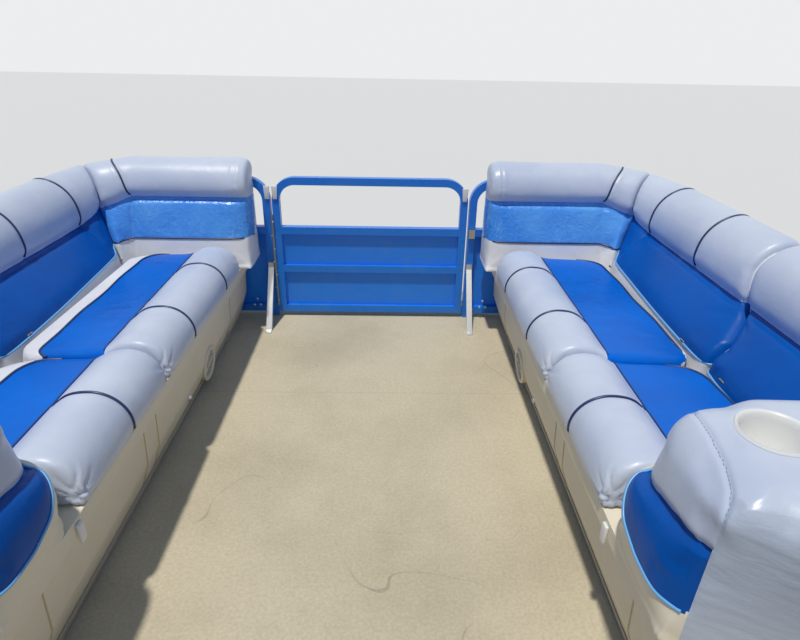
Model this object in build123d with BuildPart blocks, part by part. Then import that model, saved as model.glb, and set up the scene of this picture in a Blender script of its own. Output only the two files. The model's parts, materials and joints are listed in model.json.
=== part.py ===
from build123d import *
import math
import os

# Pontoon boat, millimetres. +Z up, +Y to the bow, +X to starboard.
# The origin lies on the ground under the middle of the boat's whole length, as it stands on its keels.
# Heights called "over deck" are measured from the top of the deck covering.

os.makedirs("parts", exist_ok=True)


def publish(piece, name):
    """Label a finished piece and write it to its own file."""
    piece.part.label = name
    export_step(piece.part, f"parts/{name}.step")


# Fits
seat_clearance = 0.3

# Hull sizes
beam = 2590
deck_length = 6100
bow_corner_radius = 180
stern_corner_radius = 60
tube_diameter = 610
tube_wall = 4
tube_centre_x = 980
keel_height = 25
keel_width = 70
nose_length = 720
nose_overhang = 190
nose_tip_radius = 60
nose_rise = 185
riser_height = 42
riser_thickness = 5
riser_flange = 60
riser_half_gap = 90
member_depth = 76
member_width = 38
member_wall = 5
member_count = 12
board_thickness = 19
covering_thickness = 3
trim_wall = 4
trim_lip = 12
trim_lip_thickness = 3
bead_depth = 12
bead_height = 34

# Fence and gates
fence_tube = 32
fence_inset = 29
fence_corner_radius = 300
fence_stern_radius = 120
bow_walk = 300
stern_walk = 450
sheet_thickness = 2
fence_post_pitch = 780
gate_corner_radius = 100
stern_gate_half_width = 320
side_gate_width = 640
gate_gap = 8
hinge_offset = 4
# Rail tops over deck: bottom, lower, middle and top rail
rail_bottom_top = 55
rail_lower_top = 250
rail_middle_top = 426
rail_top_top = 641

# Lounges, sections given inboard from the fence line and over deck
soft_gap = 5
base_height = 300
base_wall = 7
bow_back_shy = 62
lounge_joint = 1070
cushion_aft = 1565
lounge_length = 2050
cushion_depth = 430
base_rim_in = 718
gate_shy = 112
armrest_height = 620
armrest_corner = 105
armrest_edge = 52
cup_radius = 45
cup_depth = 85
cup_wall = 3
cup_flange = 16

# Motor
motor_setback = 340
transom_height = 700
transom_thickness = 45
transom_half_width = 300
tilt_axis_aft = 55
tilt_axis_rise = 20
rest_tilt = 60
swivel_offset = 125
propeller_radius = 165
gearcase_radius = 46
gearcase_drop = 700
skeg_drop = 915

# Heights from the ground
tube_radius = tube_diameter / 2
tube_z = keel_height + tube_radius
member_z = tube_z + tube_radius + riser_height
board_z = member_z + member_depth
covering_z = board_z + board_thickness
deck_z = covering_z + covering_thickness

# Outboard pieces about the tilt axis in running position: x across, y forward, z up
pin_radius = 16
cheek_x = 120
cheek_thickness = 14
with BuildPart() as clamp_bracket:
    top = -tilt_axis_rise
    for side in (-1, 1):
        low_x = side * cheek_x - cheek_thickness / 2
        with BuildSketch(Plane.YZ.offset(low_x)):
            with BuildLine():
                Polyline(
                    (tilt_axis_aft - seat_clearance, top - 330),
                    (tilt_axis_aft - seat_clearance, top + seat_clearance),
                    (tilt_axis_aft + transom_thickness + seat_clearance, top + seat_clearance),
                    (tilt_axis_aft + transom_thickness + seat_clearance, top - 90),
                    (tilt_axis_aft + transom_thickness + 14, top - 90),
                    (tilt_axis_aft + transom_thickness + 14, top + 18),
                    (28, 34),
                    (-28, 30),
                    (-34, -12),
                    (28, top - 330),
                    close=True,
                )
            make_face()
            Circle(pin_radius + 0.08, mode=Mode.SUBTRACT)
        extrude(amount=cheek_thickness)
    with BuildSketch(Plane.YZ.offset(-cheek_x)):
        with BuildLine():
            Polyline(
                (tilt_axis_aft - seat_clearance, top - 330),
                (tilt_axis_aft - seat_clearance, top - 240),
                (34, top - 240),
                (34, top - 330),
                close=True,
            )
        make_face()
    extrude(amount=2 * cheek_x)

swivel_radius = 36
kingpin_radius = 18
with BuildPart() as swivel_bracket:
    with BuildSketch(Plane.YZ.offset(-cheek_x - 30)):
        Circle(pin_radius)
    extrude(amount=2 * cheek_x + 60)
    with BuildSketch(Plane.YZ.offset(-cheek_x + cheek_thickness)):
        Circle(26)
    extrude(amount=2 * (cheek_x - cheek_thickness))
    with BuildSketch(Plane.XY.offset(-26)):
        with Locations((0, -swivel_offset / 2)):
            Rectangle(120, swivel_offset)
    extrude(amount=52)
    with BuildSketch(Plane.XY.offset(-330)):
        with Locations((0, -swivel_offset)):
            Circle(swivel_radius)
    extrude(amount=370)
    with BuildSketch(Plane.XY.offset(-330)):
        with Locations((0, -swivel_offset)):
            Circle(kingpin_radius + 0.08)
    extrude(amount=370, mode=Mode.SUBTRACT)

# Leg: yokes on the kingpin, exhaust housing, splash plate, gearcase and skeg
# Rows: distance aft of the tilt axis, drop below it
skeg_outline = [(190, 735), (235, 905), (300, skeg_drop), (420, 725)]
# Rows: height, width, depth of the exhaust housing
leg_sections = [(108, 150, 235), (-470, 96, 190)]
cowl_width = 380
cowl_length = 560
cowl_corner = 135
cowl_aft = 235
pan_z = 105
pan_height = 50
pan_flare = 18


def oval(plane, width, depth):
    """Oval face on a plane."""
    with BuildSketch(plane) as face:
        Ellipse(width / 2, depth / 2)
    return face.sketch.face()


with BuildPart() as motor_leg:
    with BuildSketch(Plane.XY.offset(-352)):
        with Locations((0, -swivel_offset)):
            Circle(kingpin_radius)
    extrude(amount=352 + pan_z + 5)
    with BuildSketch(Plane.XY.offset(45)):
        with Locations((0, -swivel_offset - 30)):
            RectangleRounded(110, 190, 30)
    extrude(amount=24)
    with BuildSketch(Plane.XY.offset(-358)):
        with Locations((0, -swivel_offset - 55)):
            RectangleRounded(84, 170, 30)
    extrude(amount=24)
    loft(
        [
            oval(Plane(origin=(0, -swivel_offset - swivel_radius - 12 - depth / 2, height)), width, depth)
            for height, width, depth in leg_sections
        ]
    )
    with BuildSketch(Plane.XY.offset(-gearcase_drop)):
        with Locations((0, -265)):
            Ellipse(24, 120)
    extrude(amount=gearcase_drop - 465)
    with BuildSketch(Plane.XY.offset(-540)):
        with Locations((0, -330)):
            Ellipse(95, 205)
    extrude(amount=8)
    with BuildSketch(Plane.YZ):
        with BuildLine():
            Line((-130, -gearcase_drop), (-480, -gearcase_drop))
            Line((-480, -gearcase_drop), (-480, -gearcase_drop + gearcase_radius - 8))
            Spline(
                (-480, -gearcase_drop + gearcase_radius - 8),
                (-300, -gearcase_drop + gearcase_radius),
                (-130, -gearcase_drop),
            )
        make_face()
    revolve(axis=Axis((0, 0, -gearcase_drop), (0, 1, 0)))
    with BuildSketch(Plane.YZ.offset(-6)):
        with BuildLine():
            Polyline(*[(-aft, -drop) for aft, drop in skeg_outline], close=True)
        make_face()
    extrude(amount=12)
    with BuildSketch(Plane.XY.offset(pan_z)):
        with Locations((0, -cowl_aft)):
            RectangleRounded(cowl_width - 2 * pan_flare, cowl_length - 2 * pan_flare, cowl_corner - pan_flare)
    extrude(amount=pan_height, taper=-math.degrees(math.atan2(pan_flare, pan_height)))

# Cowl: rounded hood with a hollow for the engine
cowl_z = pan_z + pan_height + seat_clearance
cowl_height = 450
cowl_wall = 6
with BuildPart() as motor_cowl:
    with BuildSketch(Plane.XY.offset(cowl_z)):
        with Locations((0, -cowl_aft)):
            RectangleRounded(cowl_width, cowl_length, cowl_corner)
    extrude(amount=cowl_height, taper=5)
    fillet(motor_cowl.faces().sort_by(Axis.Z)[-1].edges(), 70)
    offset(amount=-cowl_wall, openings=motor_cowl.faces().sort_by(Axis.Z)[0])

engine_room = 75
with BuildPart() as engine_block:
    with BuildSketch(Plane.XY.offset(cowl_z)):
        with Locations((0, -cowl_aft)):
            RectangleRounded(cowl_width - 2 * engine_room, cowl_length - 2.4 * engine_room, engine_room / 2)
    extrude(amount=cowl_height - 1.5 * engine_room)

# Propeller: hub on the gearcase's axis and three raked blades
hub_radius = 38
blade_count = 3
with BuildPart() as propeller:
    hub_plane = Plane(origin=(0, -485, -gearcase_drop), x_dir=(1, 0, 0), z_dir=(0, -1, 0))
    with BuildSketch(hub_plane):
        Circle(hub_radius)
    extrude(amount=100, taper=2)
    for number in range(blade_count):
        turn = math.radians(90 + number * 360 / blade_count)
        out = Vector(math.cos(turn), 0, math.sin(turn))
        sections = []
        for radius, chord, pitch in ((hub_radius - 8, 70, 58), (95, 100, 38), (propeller_radius - 3, 56, 26)):
            pitch_angle = math.radians(pitch)
            side = Vector(0, 1, 0).cross(out)
            chord_dir = side * math.cos(pitch_angle) + Vector(0, 1, 0) * math.sin(pitch_angle)
            at = Vector(0, -535, -gearcase_drop) + out * radius
            sections.append(oval(Plane(origin=at, x_dir=chord_dir, z_dir=out), chord, 8))
        loft(sections)

# How far the tilted outboard reaches aft of its tilt axis
tilt_up = Location((0, 0, 0), (-rest_tilt, 0, 0))
tilted_pieces = [piece.part.moved(tilt_up) for piece in (motor_leg, propeller)]
motor_reach = -min(piece.bounding_box().min.Y for piece in tilted_pieces)

# Stations along the boat
length_overall = nose_overhang + deck_length + motor_setback + tilt_axis_aft + motor_reach
bow_tip_y = length_overall / 2
deck_front_y = bow_tip_y - nose_overhang
deck_aft_y = deck_front_y - deck_length
transom_y = deck_aft_y - motor_setback
tilt_y = transom_y - tilt_axis_aft
tilt_z = transom_height + tilt_axis_rise
board_half = beam / 2 - bead_depth - trim_wall
fence_x = board_half - fence_inset
fence_bow_y = deck_front_y - bow_walk
fence_stern_y = deck_aft_y + stern_walk
half_tube = fence_tube / 2
gate_half_width = fence_x - base_rim_in - gate_shy


def deck_outline(grow, height):
    """Plan outline of the deck board, grown outwards, at a height."""
    with BuildSketch(Plane.XY.offset(height)) as outline:
        with Locations((0, (deck_front_y + deck_aft_y) / 2)):
            Rectangle(2 * (board_half + grow), deck_length - 2 * (bead_depth + trim_wall) + 2 * grow)
        corners = outline.vertices().sort_by(Axis.Y)
        fillet(corners[2:], bow_corner_radius + grow)
        fillet(outline.vertices().sort_by(Axis.Y)[:2], stern_corner_radius + grow)
    return outline.sketch


def fence_outline(grow, height):
    """Plan outline through the fence tubes, grown outwards, at a height."""
    with BuildSketch(Plane.XY.offset(height)) as outline:
        with Locations((0, (fence_bow_y + fence_stern_y) / 2)):
            Rectangle(2 * (fence_x + grow), fence_bow_y - fence_stern_y + 2 * grow)
        corners = outline.vertices().sort_by(Axis.Y)
        fillet(corners[2:], fence_corner_radius + grow)
        fillet(outline.vertices().sort_by(Axis.Y)[:2], fence_stern_radius + grow)
    return outline.sketch


# Pontoon tube: plain cylinder, upturned nose through three rings, keel strip below
nose_base_y = bow_tip_y - nose_length
# Rows: share of the nose length, ring radius, rise of the ring's centre
nose_rings = [(0, tube_radius, 0), (0.52, 236, 58), (1, nose_tip_radius, nose_rise)]


def nose_ring(row, inset):
    """One round section of the nose, inset for the inner wall."""
    share, radius, rise = row
    station = nose_base_y + share * nose_length - (inset if share == 1 else 0)
    ring_plane = Plane(origin=(tube_centre_x, station, tube_z + rise), x_dir=(-1, 0, 0), z_dir=(0, 1, 0))
    with BuildSketch(ring_plane) as ring:
        Circle(radius - inset)
    return ring.sketch


def pontoon_form(inset):
    """Closed form of tube and nose."""
    aft = deck_aft_y + inset
    with BuildPart() as form:
        tube_plane = Plane(origin=(tube_centre_x, aft, tube_z), x_dir=(-1, 0, 0), z_dir=(0, 1, 0))
        with BuildSketch(tube_plane):
            Circle(tube_radius - inset)
        extrude(amount=nose_base_y - aft)
        loft([nose_ring(row, inset).face() for row in nose_rings])
    return form.part


with BuildPart() as starboard_pontoon:
    add(pontoon_form(0))
    keel_plane = Plane(origin=(tube_centre_x, deck_aft_y, 0), x_dir=(-1, 0, 0), z_dir=(0, 1, 0))
    with BuildSketch(keel_plane):
        with BuildLine():
            Polyline(
                (-keel_width / 2, 0),
                (keel_width / 2, 0),
                (keel_width / 4, keel_height + 8),
                (-keel_width / 4, keel_height + 8),
                close=True,
            )
        make_face()
    extrude(amount=nose_base_y - deck_aft_y)
    add(pontoon_form(tube_wall), mode=Mode.SUBTRACT)
with BuildPart() as pontoons:
    add(starboard_pontoon.part)
    mirror(starboard_pontoon.part, about=Plane.YZ)
publish(pontoons, "pontoon_tubes")

# Riser angles: a leg cut to the tube and a flange under the cross members
member_end = bow_corner_radius + bead_depth + trim_wall + member_width
member_pitch = (deck_length - 2 * member_end) / (member_count - 1)
member_stations = [deck_aft_y + member_end + number * member_pitch for number in range(member_count)]
riser_length = member_stations[-1] - member_stations[0] + member_width
with BuildPart() as risers:
    riser_aft_y = member_stations[0] - member_width / 2
    riser_plane = Plane(origin=(0, riser_aft_y, 0), x_dir=(-1, 0, 0), z_dir=(0, 1, 0))
    with BuildSketch(riser_plane):
        for tube_x in (-tube_centre_x, tube_centre_x):
            for side in (-1, 1):
                leg_x = tube_x + side * riser_half_gap
                with Locations((leg_x, member_z)):
                    Rectangle(riser_thickness, tube_radius / 2, align=(Align.CENTER, Align.MAX))
                with Locations((leg_x + side * (riser_flange - riser_thickness) / 2, member_z)):
                    Rectangle(riser_flange, riser_thickness, align=(Align.CENTER, Align.MAX))
        with Locations((-tube_centre_x, tube_z), (tube_centre_x, tube_z)):
            Circle(tube_radius, mode=Mode.SUBTRACT)
    extrude(amount=riser_length)
    add(pontoon_form(0), mode=Mode.SUBTRACT)
    mirror(pontoon_form(0), about=Plane.YZ, mode=Mode.SUBTRACT)
publish(risers, "riser_angles")

# Cross members: channels open to the stern
with BuildPart() as members:
    member_length = 2 * board_half
    with BuildSketch(Plane.YZ.offset(-member_length / 2)):
        with Locations(*[(station, member_z + member_depth / 2) for station in member_stations]):
            Rectangle(member_width, member_depth)
        hollows = [(station - member_wall, member_z + member_depth / 2) for station in member_stations]
        with Locations(*hollows):
            Rectangle(member_width, member_depth - 2 * member_wall, mode=Mode.SUBTRACT)
    extrude(amount=member_length)
publish(members, "cross_members")

with BuildPart() as deck_board:
    extrude(deck_outline(0, board_z), amount=board_thickness)
publish(deck_board, "deck_board")

with BuildPart() as deck_covering:
    extrude(deck_outline(0, covering_z), amount=covering_thickness)
publish(deck_covering, "deck_covering")

# Deck edge trim: wall round the deck, rub bead outside, lip over the covering
with BuildPart() as deck_trim:
    trim_height = deck_z - member_z
    extrude(deck_outline(trim_wall, member_z), amount=trim_height)
    bead_z = board_z - bead_height / 2
    extrude(deck_outline(trim_wall + bead_depth, bead_z), amount=bead_height)
    extrude(deck_outline(trim_wall, deck_z), amount=trim_lip_thickness)
    extrude(deck_outline(0, member_z), amount=trim_height, mode=Mode.SUBTRACT)
    extrude(deck_outline(-trim_lip, deck_z), amount=trim_lip_thickness, mode=Mode.SUBTRACT)
publish(deck_trim, "deck_edge_trim")

# Fence: rails cut from the plan outline, posts between them
side_gate_front_y = fence_bow_y - lounge_length - 45
side_gate_aft_y = side_gate_front_y - side_gate_width - 2 * gate_gap
bow_post_x = gate_half_width + gate_gap
stern_post_x = stern_gate_half_width + gate_gap
far = beam
upright = (Align.CENTER, Align.CENTER, Align.MIN)
hanging = (Align.CENTER, Align.CENTER, Align.MAX)
rail_tops = [rail_bottom_top, rail_middle_top, rail_top_top]


def bent_end(frame, corner, along):
    """Bend the top rail of a fence section down into its end post."""
    across = Vector(*along).cross(Vector(0, 0, 1))
    end_plane = Plane(origin=(corner[0], corner[1], deck_z), x_dir=along, z_dir=across)
    radius = gate_corner_radius
    with BuildPart() as outside:
        with BuildSketch(end_plane.offset(-half_tube - 1)):
            with Locations((-1, rail_top_top + 1)):
                Rectangle(radius + 1, radius + 1, align=(Align.MIN, Align.MAX))
            with Locations((radius, rail_top_top - radius)):
                Circle(radius, mode=Mode.SUBTRACT)
        extrude(amount=fence_tube + 2)
    with BuildPart() as inside:
        with BuildSketch(end_plane.offset(-half_tube)):
            with Locations((fence_tube - 1, rail_top_top - fence_tube + 1)):
                Rectangle(radius - fence_tube + 1, radius - fence_tube + 1, align=(Align.MIN, Align.MAX))
            with Locations((radius, rail_top_top - radius)):
                Circle(radius - fence_tube, mode=Mode.SUBTRACT)
        extrude(amount=fence_tube)
    return frame + inside.part - outside.part


def fence_frame(low, high, posts):
    """Rails of one fence section inside a plan box, with its posts."""
    with BuildPart() as frame:
        for rail_top in rail_tops:
            rail_z = deck_z + rail_top - fence_tube
            extrude(fence_outline(half_tube, rail_z), amount=fence_tube)
            extrude(fence_outline(-half_tube, rail_z), amount=fence_tube, mode=Mode.SUBTRACT)
        with Locations(((low[0] + high[0]) / 2, (low[1] + high[1]) / 2, deck_z)):
            section_box = (high[0] - low[0], high[1] - low[1], rail_top_top)
            Box(*section_box, align=upright, mode=Mode.INTERSECT)
        with Locations(*[(x, y, deck_z) for x, y in posts]):
            Box(fence_tube, fence_tube, rail_top_top, align=upright)
    return frame


def spread(first, last, pitch):
    """Even stations from first to last, no further apart than the pitch."""
    count = max(1, math.ceil(abs(last - first) / pitch))
    return [first + (last - first) * number / count for number in range(count + 1)]


corner_end_y = fence_bow_y - fence_corner_radius
stern_corner_y = fence_stern_y + fence_stern_radius
bow_posts = [(bow_post_x + half_tube, fence_bow_y), (fence_x - fence_corner_radius, fence_bow_y)]
bow_posts += [(fence_x, y) for y in spread(corner_end_y, side_gate_front_y + half_tube, fence_post_pitch)]
stern_posts = [(stern_post_x + half_tube, fence_stern_y), (fence_x - fence_stern_radius, fence_stern_y)]
stern_posts += [(fence_x, y) for y in spread(stern_corner_y, side_gate_aft_y - half_tube, fence_post_pitch)]
starboard_joint_y = side_gate_front_y - gate_gap
starboard_last_y = starboard_joint_y - half_tube
star_stern_posts = stern_posts[:2]
star_stern_posts += [(fence_x, y) for y in spread(stern_corner_y, starboard_last_y, fence_post_pitch)]


def mirrored(posts):
    """The same posts on the port side."""
    return [(-x, y) for x, y in posts]


# Rows: low corner of the section in plan, high corner, posts
bow_fence_rows = [
    ((bow_post_x, side_gate_front_y), (far, far * 2), bow_posts),
    ((-far, side_gate_front_y), (-bow_post_x, far * 2), mirrored(bow_posts)),
]
stern_fence_rows = [
    ((stern_post_x, -far * 2), (far, starboard_joint_y), star_stern_posts),
    ((-far, -far * 2), (-stern_post_x, side_gate_aft_y), mirrored(stern_posts)),
]
# Ends of the sections. Rows: outside edge of the end post on the fence line, way along the rail
bow_fence_ends = [
    [((bow_post_x, fence_bow_y), (1, 0, 0)), ((fence_x, side_gate_front_y), (0, 1, 0))],
    [((-bow_post_x, fence_bow_y), (-1, 0, 0)), ((-fence_x, side_gate_front_y), (0, 1, 0))],
]
stern_fence_ends = [
    [((stern_post_x, fence_stern_y), (1, 0, 0)), ((fence_x, starboard_joint_y), (0, -1, 0))],
    [((-stern_post_x, fence_stern_y), (-1, 0, 0)), ((-fence_x, side_gate_aft_y), (0, -1, 0))],
]


def fences(rows, ends, name):
    """Publish the fence sections of one end of the boat, their rails bent down at both ends."""
    with BuildPart() as sections:
        for (low, high, posts), section_ends in zip(rows, ends):
            frame = fence_frame(low, high, posts).part
            for corner, along in section_ends:
                frame = bent_end(frame, corner, along)
            add(frame)
    publish(sections, name)


fences(bow_fence_rows, bow_fence_ends, "bow_fence_frames")
fences(stern_fence_rows, stern_fence_ends, "stern_fence_frames")

sheet_offset = 6
sheet_z = deck_z + rail_bottom_top
sheet_height = rail_middle_top - fence_tube - rail_bottom_top


def fence_sheet(low, high, posts):
    """Sheets between the bottom and middle rails of one fence section, cut at the posts."""
    with BuildPart() as sheets:
        extrude(fence_outline(sheet_offset + sheet_thickness, sheet_z), amount=sheet_height)
        extrude(fence_outline(sheet_offset, sheet_z), amount=sheet_height, mode=Mode.SUBTRACT)
        with Locations(((low[0] + high[0]) / 2, (low[1] + high[1]) / 2, deck_z)):
            section_box = (high[0] - low[0], high[1] - low[1], rail_top_top)
            Box(*section_box, align=upright, mode=Mode.INTERSECT)
        with Locations(*[(x, y, deck_z) for x, y in posts]):
            Box(fence_tube, fence_tube, rail_top_top, align=upright, mode=Mode.SUBTRACT)
    return sheets


with BuildPart() as fence_panels:
    for low, high, posts in bow_fence_rows + stern_fence_rows:
        add(fence_sheet(low, high, posts).part)
publish(fence_panels, "fence_panels")


def gate_frame(plane, width):
    """Welded gate frame standing on its plane, hinge side at the local origin."""
    with BuildPart() as frame:
        with BuildSketch(plane):
            with BuildLine():
                left = 0
                right = width
                low = rail_bottom_top - fence_tube
                radius = gate_corner_radius
                Line((left, low), (right, low))
                Line((right, low), (right, rail_top_top - radius))
                RadiusArc((right, rail_top_top - radius), (right - radius, rail_top_top), -radius)
                Line((right - radius, rail_top_top), (left + radius, rail_top_top))
                RadiusArc((left + radius, rail_top_top), (left, rail_top_top - radius), -radius)
                Line((left, rail_top_top - radius), (left, low))
            make_face()
            for window_low, window_high in gate_windows:
                with Locations((width / 2, (window_low + window_high) / 2)):
                    Rectangle(width - 2 * fence_tube, window_high - window_low, mode=Mode.SUBTRACT)
        extrude(amount=fence_tube)
        top_corners = [
            edge
            for edge in frame.edges().filter_by(Axis(plane.origin, plane.z_dir))
            if abs((edge.center() - plane.origin).Z - (rail_top_top - fence_tube)) < 1
        ]
        fillet(top_corners, gate_corner_radius - fence_tube)
    return frame


# Rows: low and high edge of each window between gate rails
gate_windows = [
    (rail_bottom_top, rail_lower_top - fence_tube),
    (rail_lower_top, rail_middle_top - fence_tube),
    (rail_middle_top, rail_top_top - fence_tube),
]


def gate_sheet(plane, width):
    """Sheets that close the two lower windows of a gate."""
    with BuildPart() as sheet:
        with BuildSketch(plane.offset(half_tube - sheet_thickness / 2)):
            for window_low, window_high in gate_windows[:2]:
                with Locations((width / 2, (window_low + window_high) / 2)):
                    Rectangle(width - 2 * fence_tube, window_high - window_low)
        extrude(amount=sheet_thickness)
    return sheet


# Gate planes: local x from the hinge side, local y up, normal across the tube
hinge_reach = half_tube + hinge_offset
hinge_radius = math.hypot(hinge_offset, gate_gap / 2) - seat_clearance
bow_hinge = (-gate_half_width - gate_gap / 2, fence_bow_y - hinge_reach)
stern_hinge = (-stern_gate_half_width - gate_gap / 2, fence_stern_y + hinge_reach)
side_hinge = (-fence_x + hinge_reach, side_gate_front_y - gate_gap / 2)
# Rows: name, corner of the gate, direction of its width, direction across its tube, width
gate_rows = [
    ("bow_gate", (-gate_half_width, fence_bow_y + half_tube), (1, 0, 0), (0, -1, 0), 2 * gate_half_width),
    (
        "stern_gate",
        (-stern_gate_half_width, fence_stern_y + half_tube),
        (1, 0, 0),
        (0, -1, 0),
        2 * stern_gate_half_width,
    ),
    (
        "side_gate",
        (-fence_x + half_tube, side_gate_front_y - gate_gap),
        (0, -1, 0),
        (-1, 0, 0),
        side_gate_width,
    ),
]
for name, corner, along, across, width in gate_rows:
    gate_plane = Plane(origin=(corner[0], corner[1], deck_z), x_dir=along, z_dir=across)
    frame = gate_frame(gate_plane, width)
    publish(frame, name + "_frame")
    sheet = gate_sheet(gate_plane, width)
    publish(sheet, name + "_sheet")

# Gate hinges: a leaf on the fence post and its knuckle tube
with BuildPart() as gate_hinges:
    for x, y in (bow_hinge, stern_hinge, side_hinge):
        with Locations((x, y, deck_z + rail_bottom_top)):
            Cylinder(hinge_radius, rail_middle_top, align=upright)
    leaf_run = fence_tube * 0.75
    leaf_height = rail_middle_top
    leaf_out = gate_gap / 2 - sheet_thickness / 2
    with Locations(
        (bow_hinge[0] - leaf_out, bow_hinge[1] + leaf_run / 2, deck_z + rail_bottom_top),
        (stern_hinge[0] - leaf_out, stern_hinge[1] - leaf_run / 2, deck_z + rail_bottom_top),
    ):
        Box(sheet_thickness, leaf_run, leaf_height, align=upright)
    with Locations((side_hinge[0] - leaf_run / 2, side_hinge[1] + leaf_out, deck_z + rail_bottom_top)):
        Box(leaf_run, sheet_thickness, leaf_height, align=upright)
publish(gate_hinges, "gate_hinges")

# Lounges. A section plane stands across a run of seating: its x runs inboard from the fence line, its y is
# the height over deck. The starboard side is drawn and the port side is its mirror image.
back_foot_gap = 25
corner_centre = (fence_x - fence_corner_radius, fence_bow_y - fence_corner_radius)


def side_plane(station):
    """Section plane across the starboard side lounge; it faces forward."""
    return Plane(origin=(fence_x, station, deck_z), x_dir=(-1, 0, 0), z_dir=(0, 1, 0))


def bow_plane(x):
    """Section plane across the bow back; it faces to port."""
    return Plane(origin=(x, fence_bow_y, deck_z), x_dir=(0, -1, 0), z_dir=(-1, 0, 0))


def stern_plane(x):
    """Section plane across the stern bench; it faces to starboard."""
    return Plane(origin=(x, fence_stern_y, deck_z), x_dir=(0, 1, 0), z_dir=(1, 0, 0))


def corner_plane(angle, slip):
    """Section plane in the bow corner, turned from the side's section, slipped along the bend."""
    out = Vector(math.cos(math.radians(angle)), math.sin(math.radians(angle)))
    along = Vector(-out.Y, out.X)
    foot = Vector(corner_centre[0], corner_centre[1], deck_z) + out * fence_corner_radius + along * slip
    return Plane(origin=foot, x_dir=-out, z_dir=along)


# Seat back sections. Rows: crest height, bolster's lower edge, panel foot inboard, its height, foot inboard
back_rows = {
    "side": (690, 505, 280, 392, 292),
    "bow": (735, 585, 190, 415, 212),
    "stern": (690, 505, 205, 400, 212),
}
rail_cover = rail_top_top + soft_gap
bolster_crest_in = 50
bolster_face_in = 165
bolster_lap = 18


def middle_row(first, second):
    """Back section half way between two others."""
    return tuple((one + other) / 2 for one, other in zip(first, second))


def back_section(plane, row):
    """Closed section of a seat back: foot, sloping panel, bolster that laps over the top rail."""
    crest, bolster_low, panel_in, panel_z, foot_in = row
    foot_z = base_height + seat_clearance
    with BuildSketch(plane) as section:
        with BuildLine():
            Line((back_foot_gap, foot_z), (back_foot_gap, rail_cover))
            Line((back_foot_gap, rail_cover), (-bolster_lap, rail_cover))
            lap_rise = crest - rail_cover
            ThreePointArc(
                (-bolster_lap, rail_cover),
                (-bolster_lap + 0.22 * (bolster_crest_in + bolster_lap), rail_cover + 0.62 * lap_rise),
                (bolster_crest_in, crest),
            )
            face_z = bolster_low + 55
            bolster_run = bolster_face_in - bolster_crest_in
            ThreePointArc(
                (bolster_crest_in, crest),
                (bolster_crest_in + 0.68 * bolster_run, face_z + 0.68 * (crest - face_z)),
                (bolster_face_in, face_z),
            )
            ThreePointArc(
                (bolster_face_in, face_z),
                (bolster_face_in + 2, bolster_low + 25),
                (bolster_face_in - 13, bolster_low),
            )
            Line((bolster_face_in - 13, bolster_low), (panel_in, panel_z))
            Line((panel_in, panel_z), (foot_in, foot_z))
            Line((foot_in, foot_z), (back_foot_gap, foot_z))
        make_face()
    return section.sketch


mitre_slip = 1.5
mitre_row = middle_row(back_rows["side"], back_rows["bow"])
lounge_aft_y = fence_bow_y - lounge_length
joint_y = fence_bow_y - lounge_joint
cushion_aft_y = fence_bow_y - cushion_aft
back_joint_y = joint_y + 100

# Bow back: straight run beside the gate, then half of the corner as far as the mitre
with BuildPart() as starboard_bow_back:
    bow_run = corner_centre[0] - gate_half_width - bow_back_shy
    extrude(back_section(bow_plane(corner_centre[0]), back_rows["bow"]), amount=bow_run)
    loft(
        [
            back_section(corner_plane(90, 0), back_rows["bow"]).face(),
            back_section(corner_plane(45, mitre_slip), mitre_row).face(),
        ],
        ruled=True,
    )

# Side backs: the other half of the corner and its straight run, then the shorter aft one
with BuildPart() as starboard_side_backs:
    loft(
        [
            back_section(corner_plane(45, -mitre_slip), mitre_row).face(),
            back_section(corner_plane(0, 0), back_rows["side"]).face(),
        ],
        ruled=True,
    )
    first_y = back_joint_y + soft_gap / 2
    extrude(back_section(side_plane(first_y), back_rows["side"]), amount=corner_centre[1] - first_y)
    second_y = cushion_aft_y + soft_gap
    second_run = back_joint_y - soft_gap / 2 - second_y
    extrude(back_section(side_plane(second_y), back_rows["side"]), amount=second_run)

# Seat cushion section. Rows of points inboard from the cushion's rear edge and over deck
cushion_front_top = [(405, 392), (320, 420), (282, 412), (250, 386)]


def cushion_section(plane, rear_in):
    """Closed section of a seat cushion with its crowned front roll."""
    foot_z = base_height + seat_clearance
    (nose_u, nose_z), (crest_u, crest_z), (fall_u, fall_z), (seam_u, seam_z) = cushion_front_top
    front_u = cushion_depth
    with BuildSketch(plane) as section:
        with BuildLine():
            Line((rear_in, foot_z), (rear_in, seam_z - 12))
            Line((rear_in, seam_z - 12), (rear_in + seam_u, seam_z))
            ThreePointArc(
                (rear_in + seam_u, seam_z),
                (rear_in + fall_u, fall_z),
                (rear_in + crest_u, crest_z),
            )
            ThreePointArc(
                (rear_in + crest_u, crest_z),
                (rear_in + nose_u, nose_z),
                (rear_in + front_u, foot_z + 30),
            )
            ThreePointArc(
                (rear_in + front_u, foot_z + 30),
                (rear_in + front_u - 5, foot_z + 8),
                (rear_in + front_u - 18, foot_z),
            )
            Line((rear_in + front_u - 18, foot_z), (rear_in, foot_z))
        make_face()
    return section.sketch


side_rear_in = 302
cushion_front_y = fence_bow_y - back_rows["bow"][4] - 13
cushion_corner = 55
# Rows: node, aft end, front end
side_cushions = [
    ("front_cushion", joint_y + soft_gap / 2, cushion_front_y),
    ("rear_cushion", cushion_aft_y + soft_gap, joint_y - soft_gap / 2),
]
for name, aft_y, front_y in side_cushions:
    with BuildPart() as cushion:
        extrude(cushion_section(side_plane(aft_y), side_rear_in), amount=front_y - aft_y)
        fillet(cushion.edges().filter_by(Axis.Z).sort_by(Axis.X)[-2:], cushion_corner)
    publish(cushion, "starboard_" + name)
    with BuildPart() as port_cushion:
        mirror(cushion.part, about=Plane.YZ)
    publish(port_cushion, "port_" + name)

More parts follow.
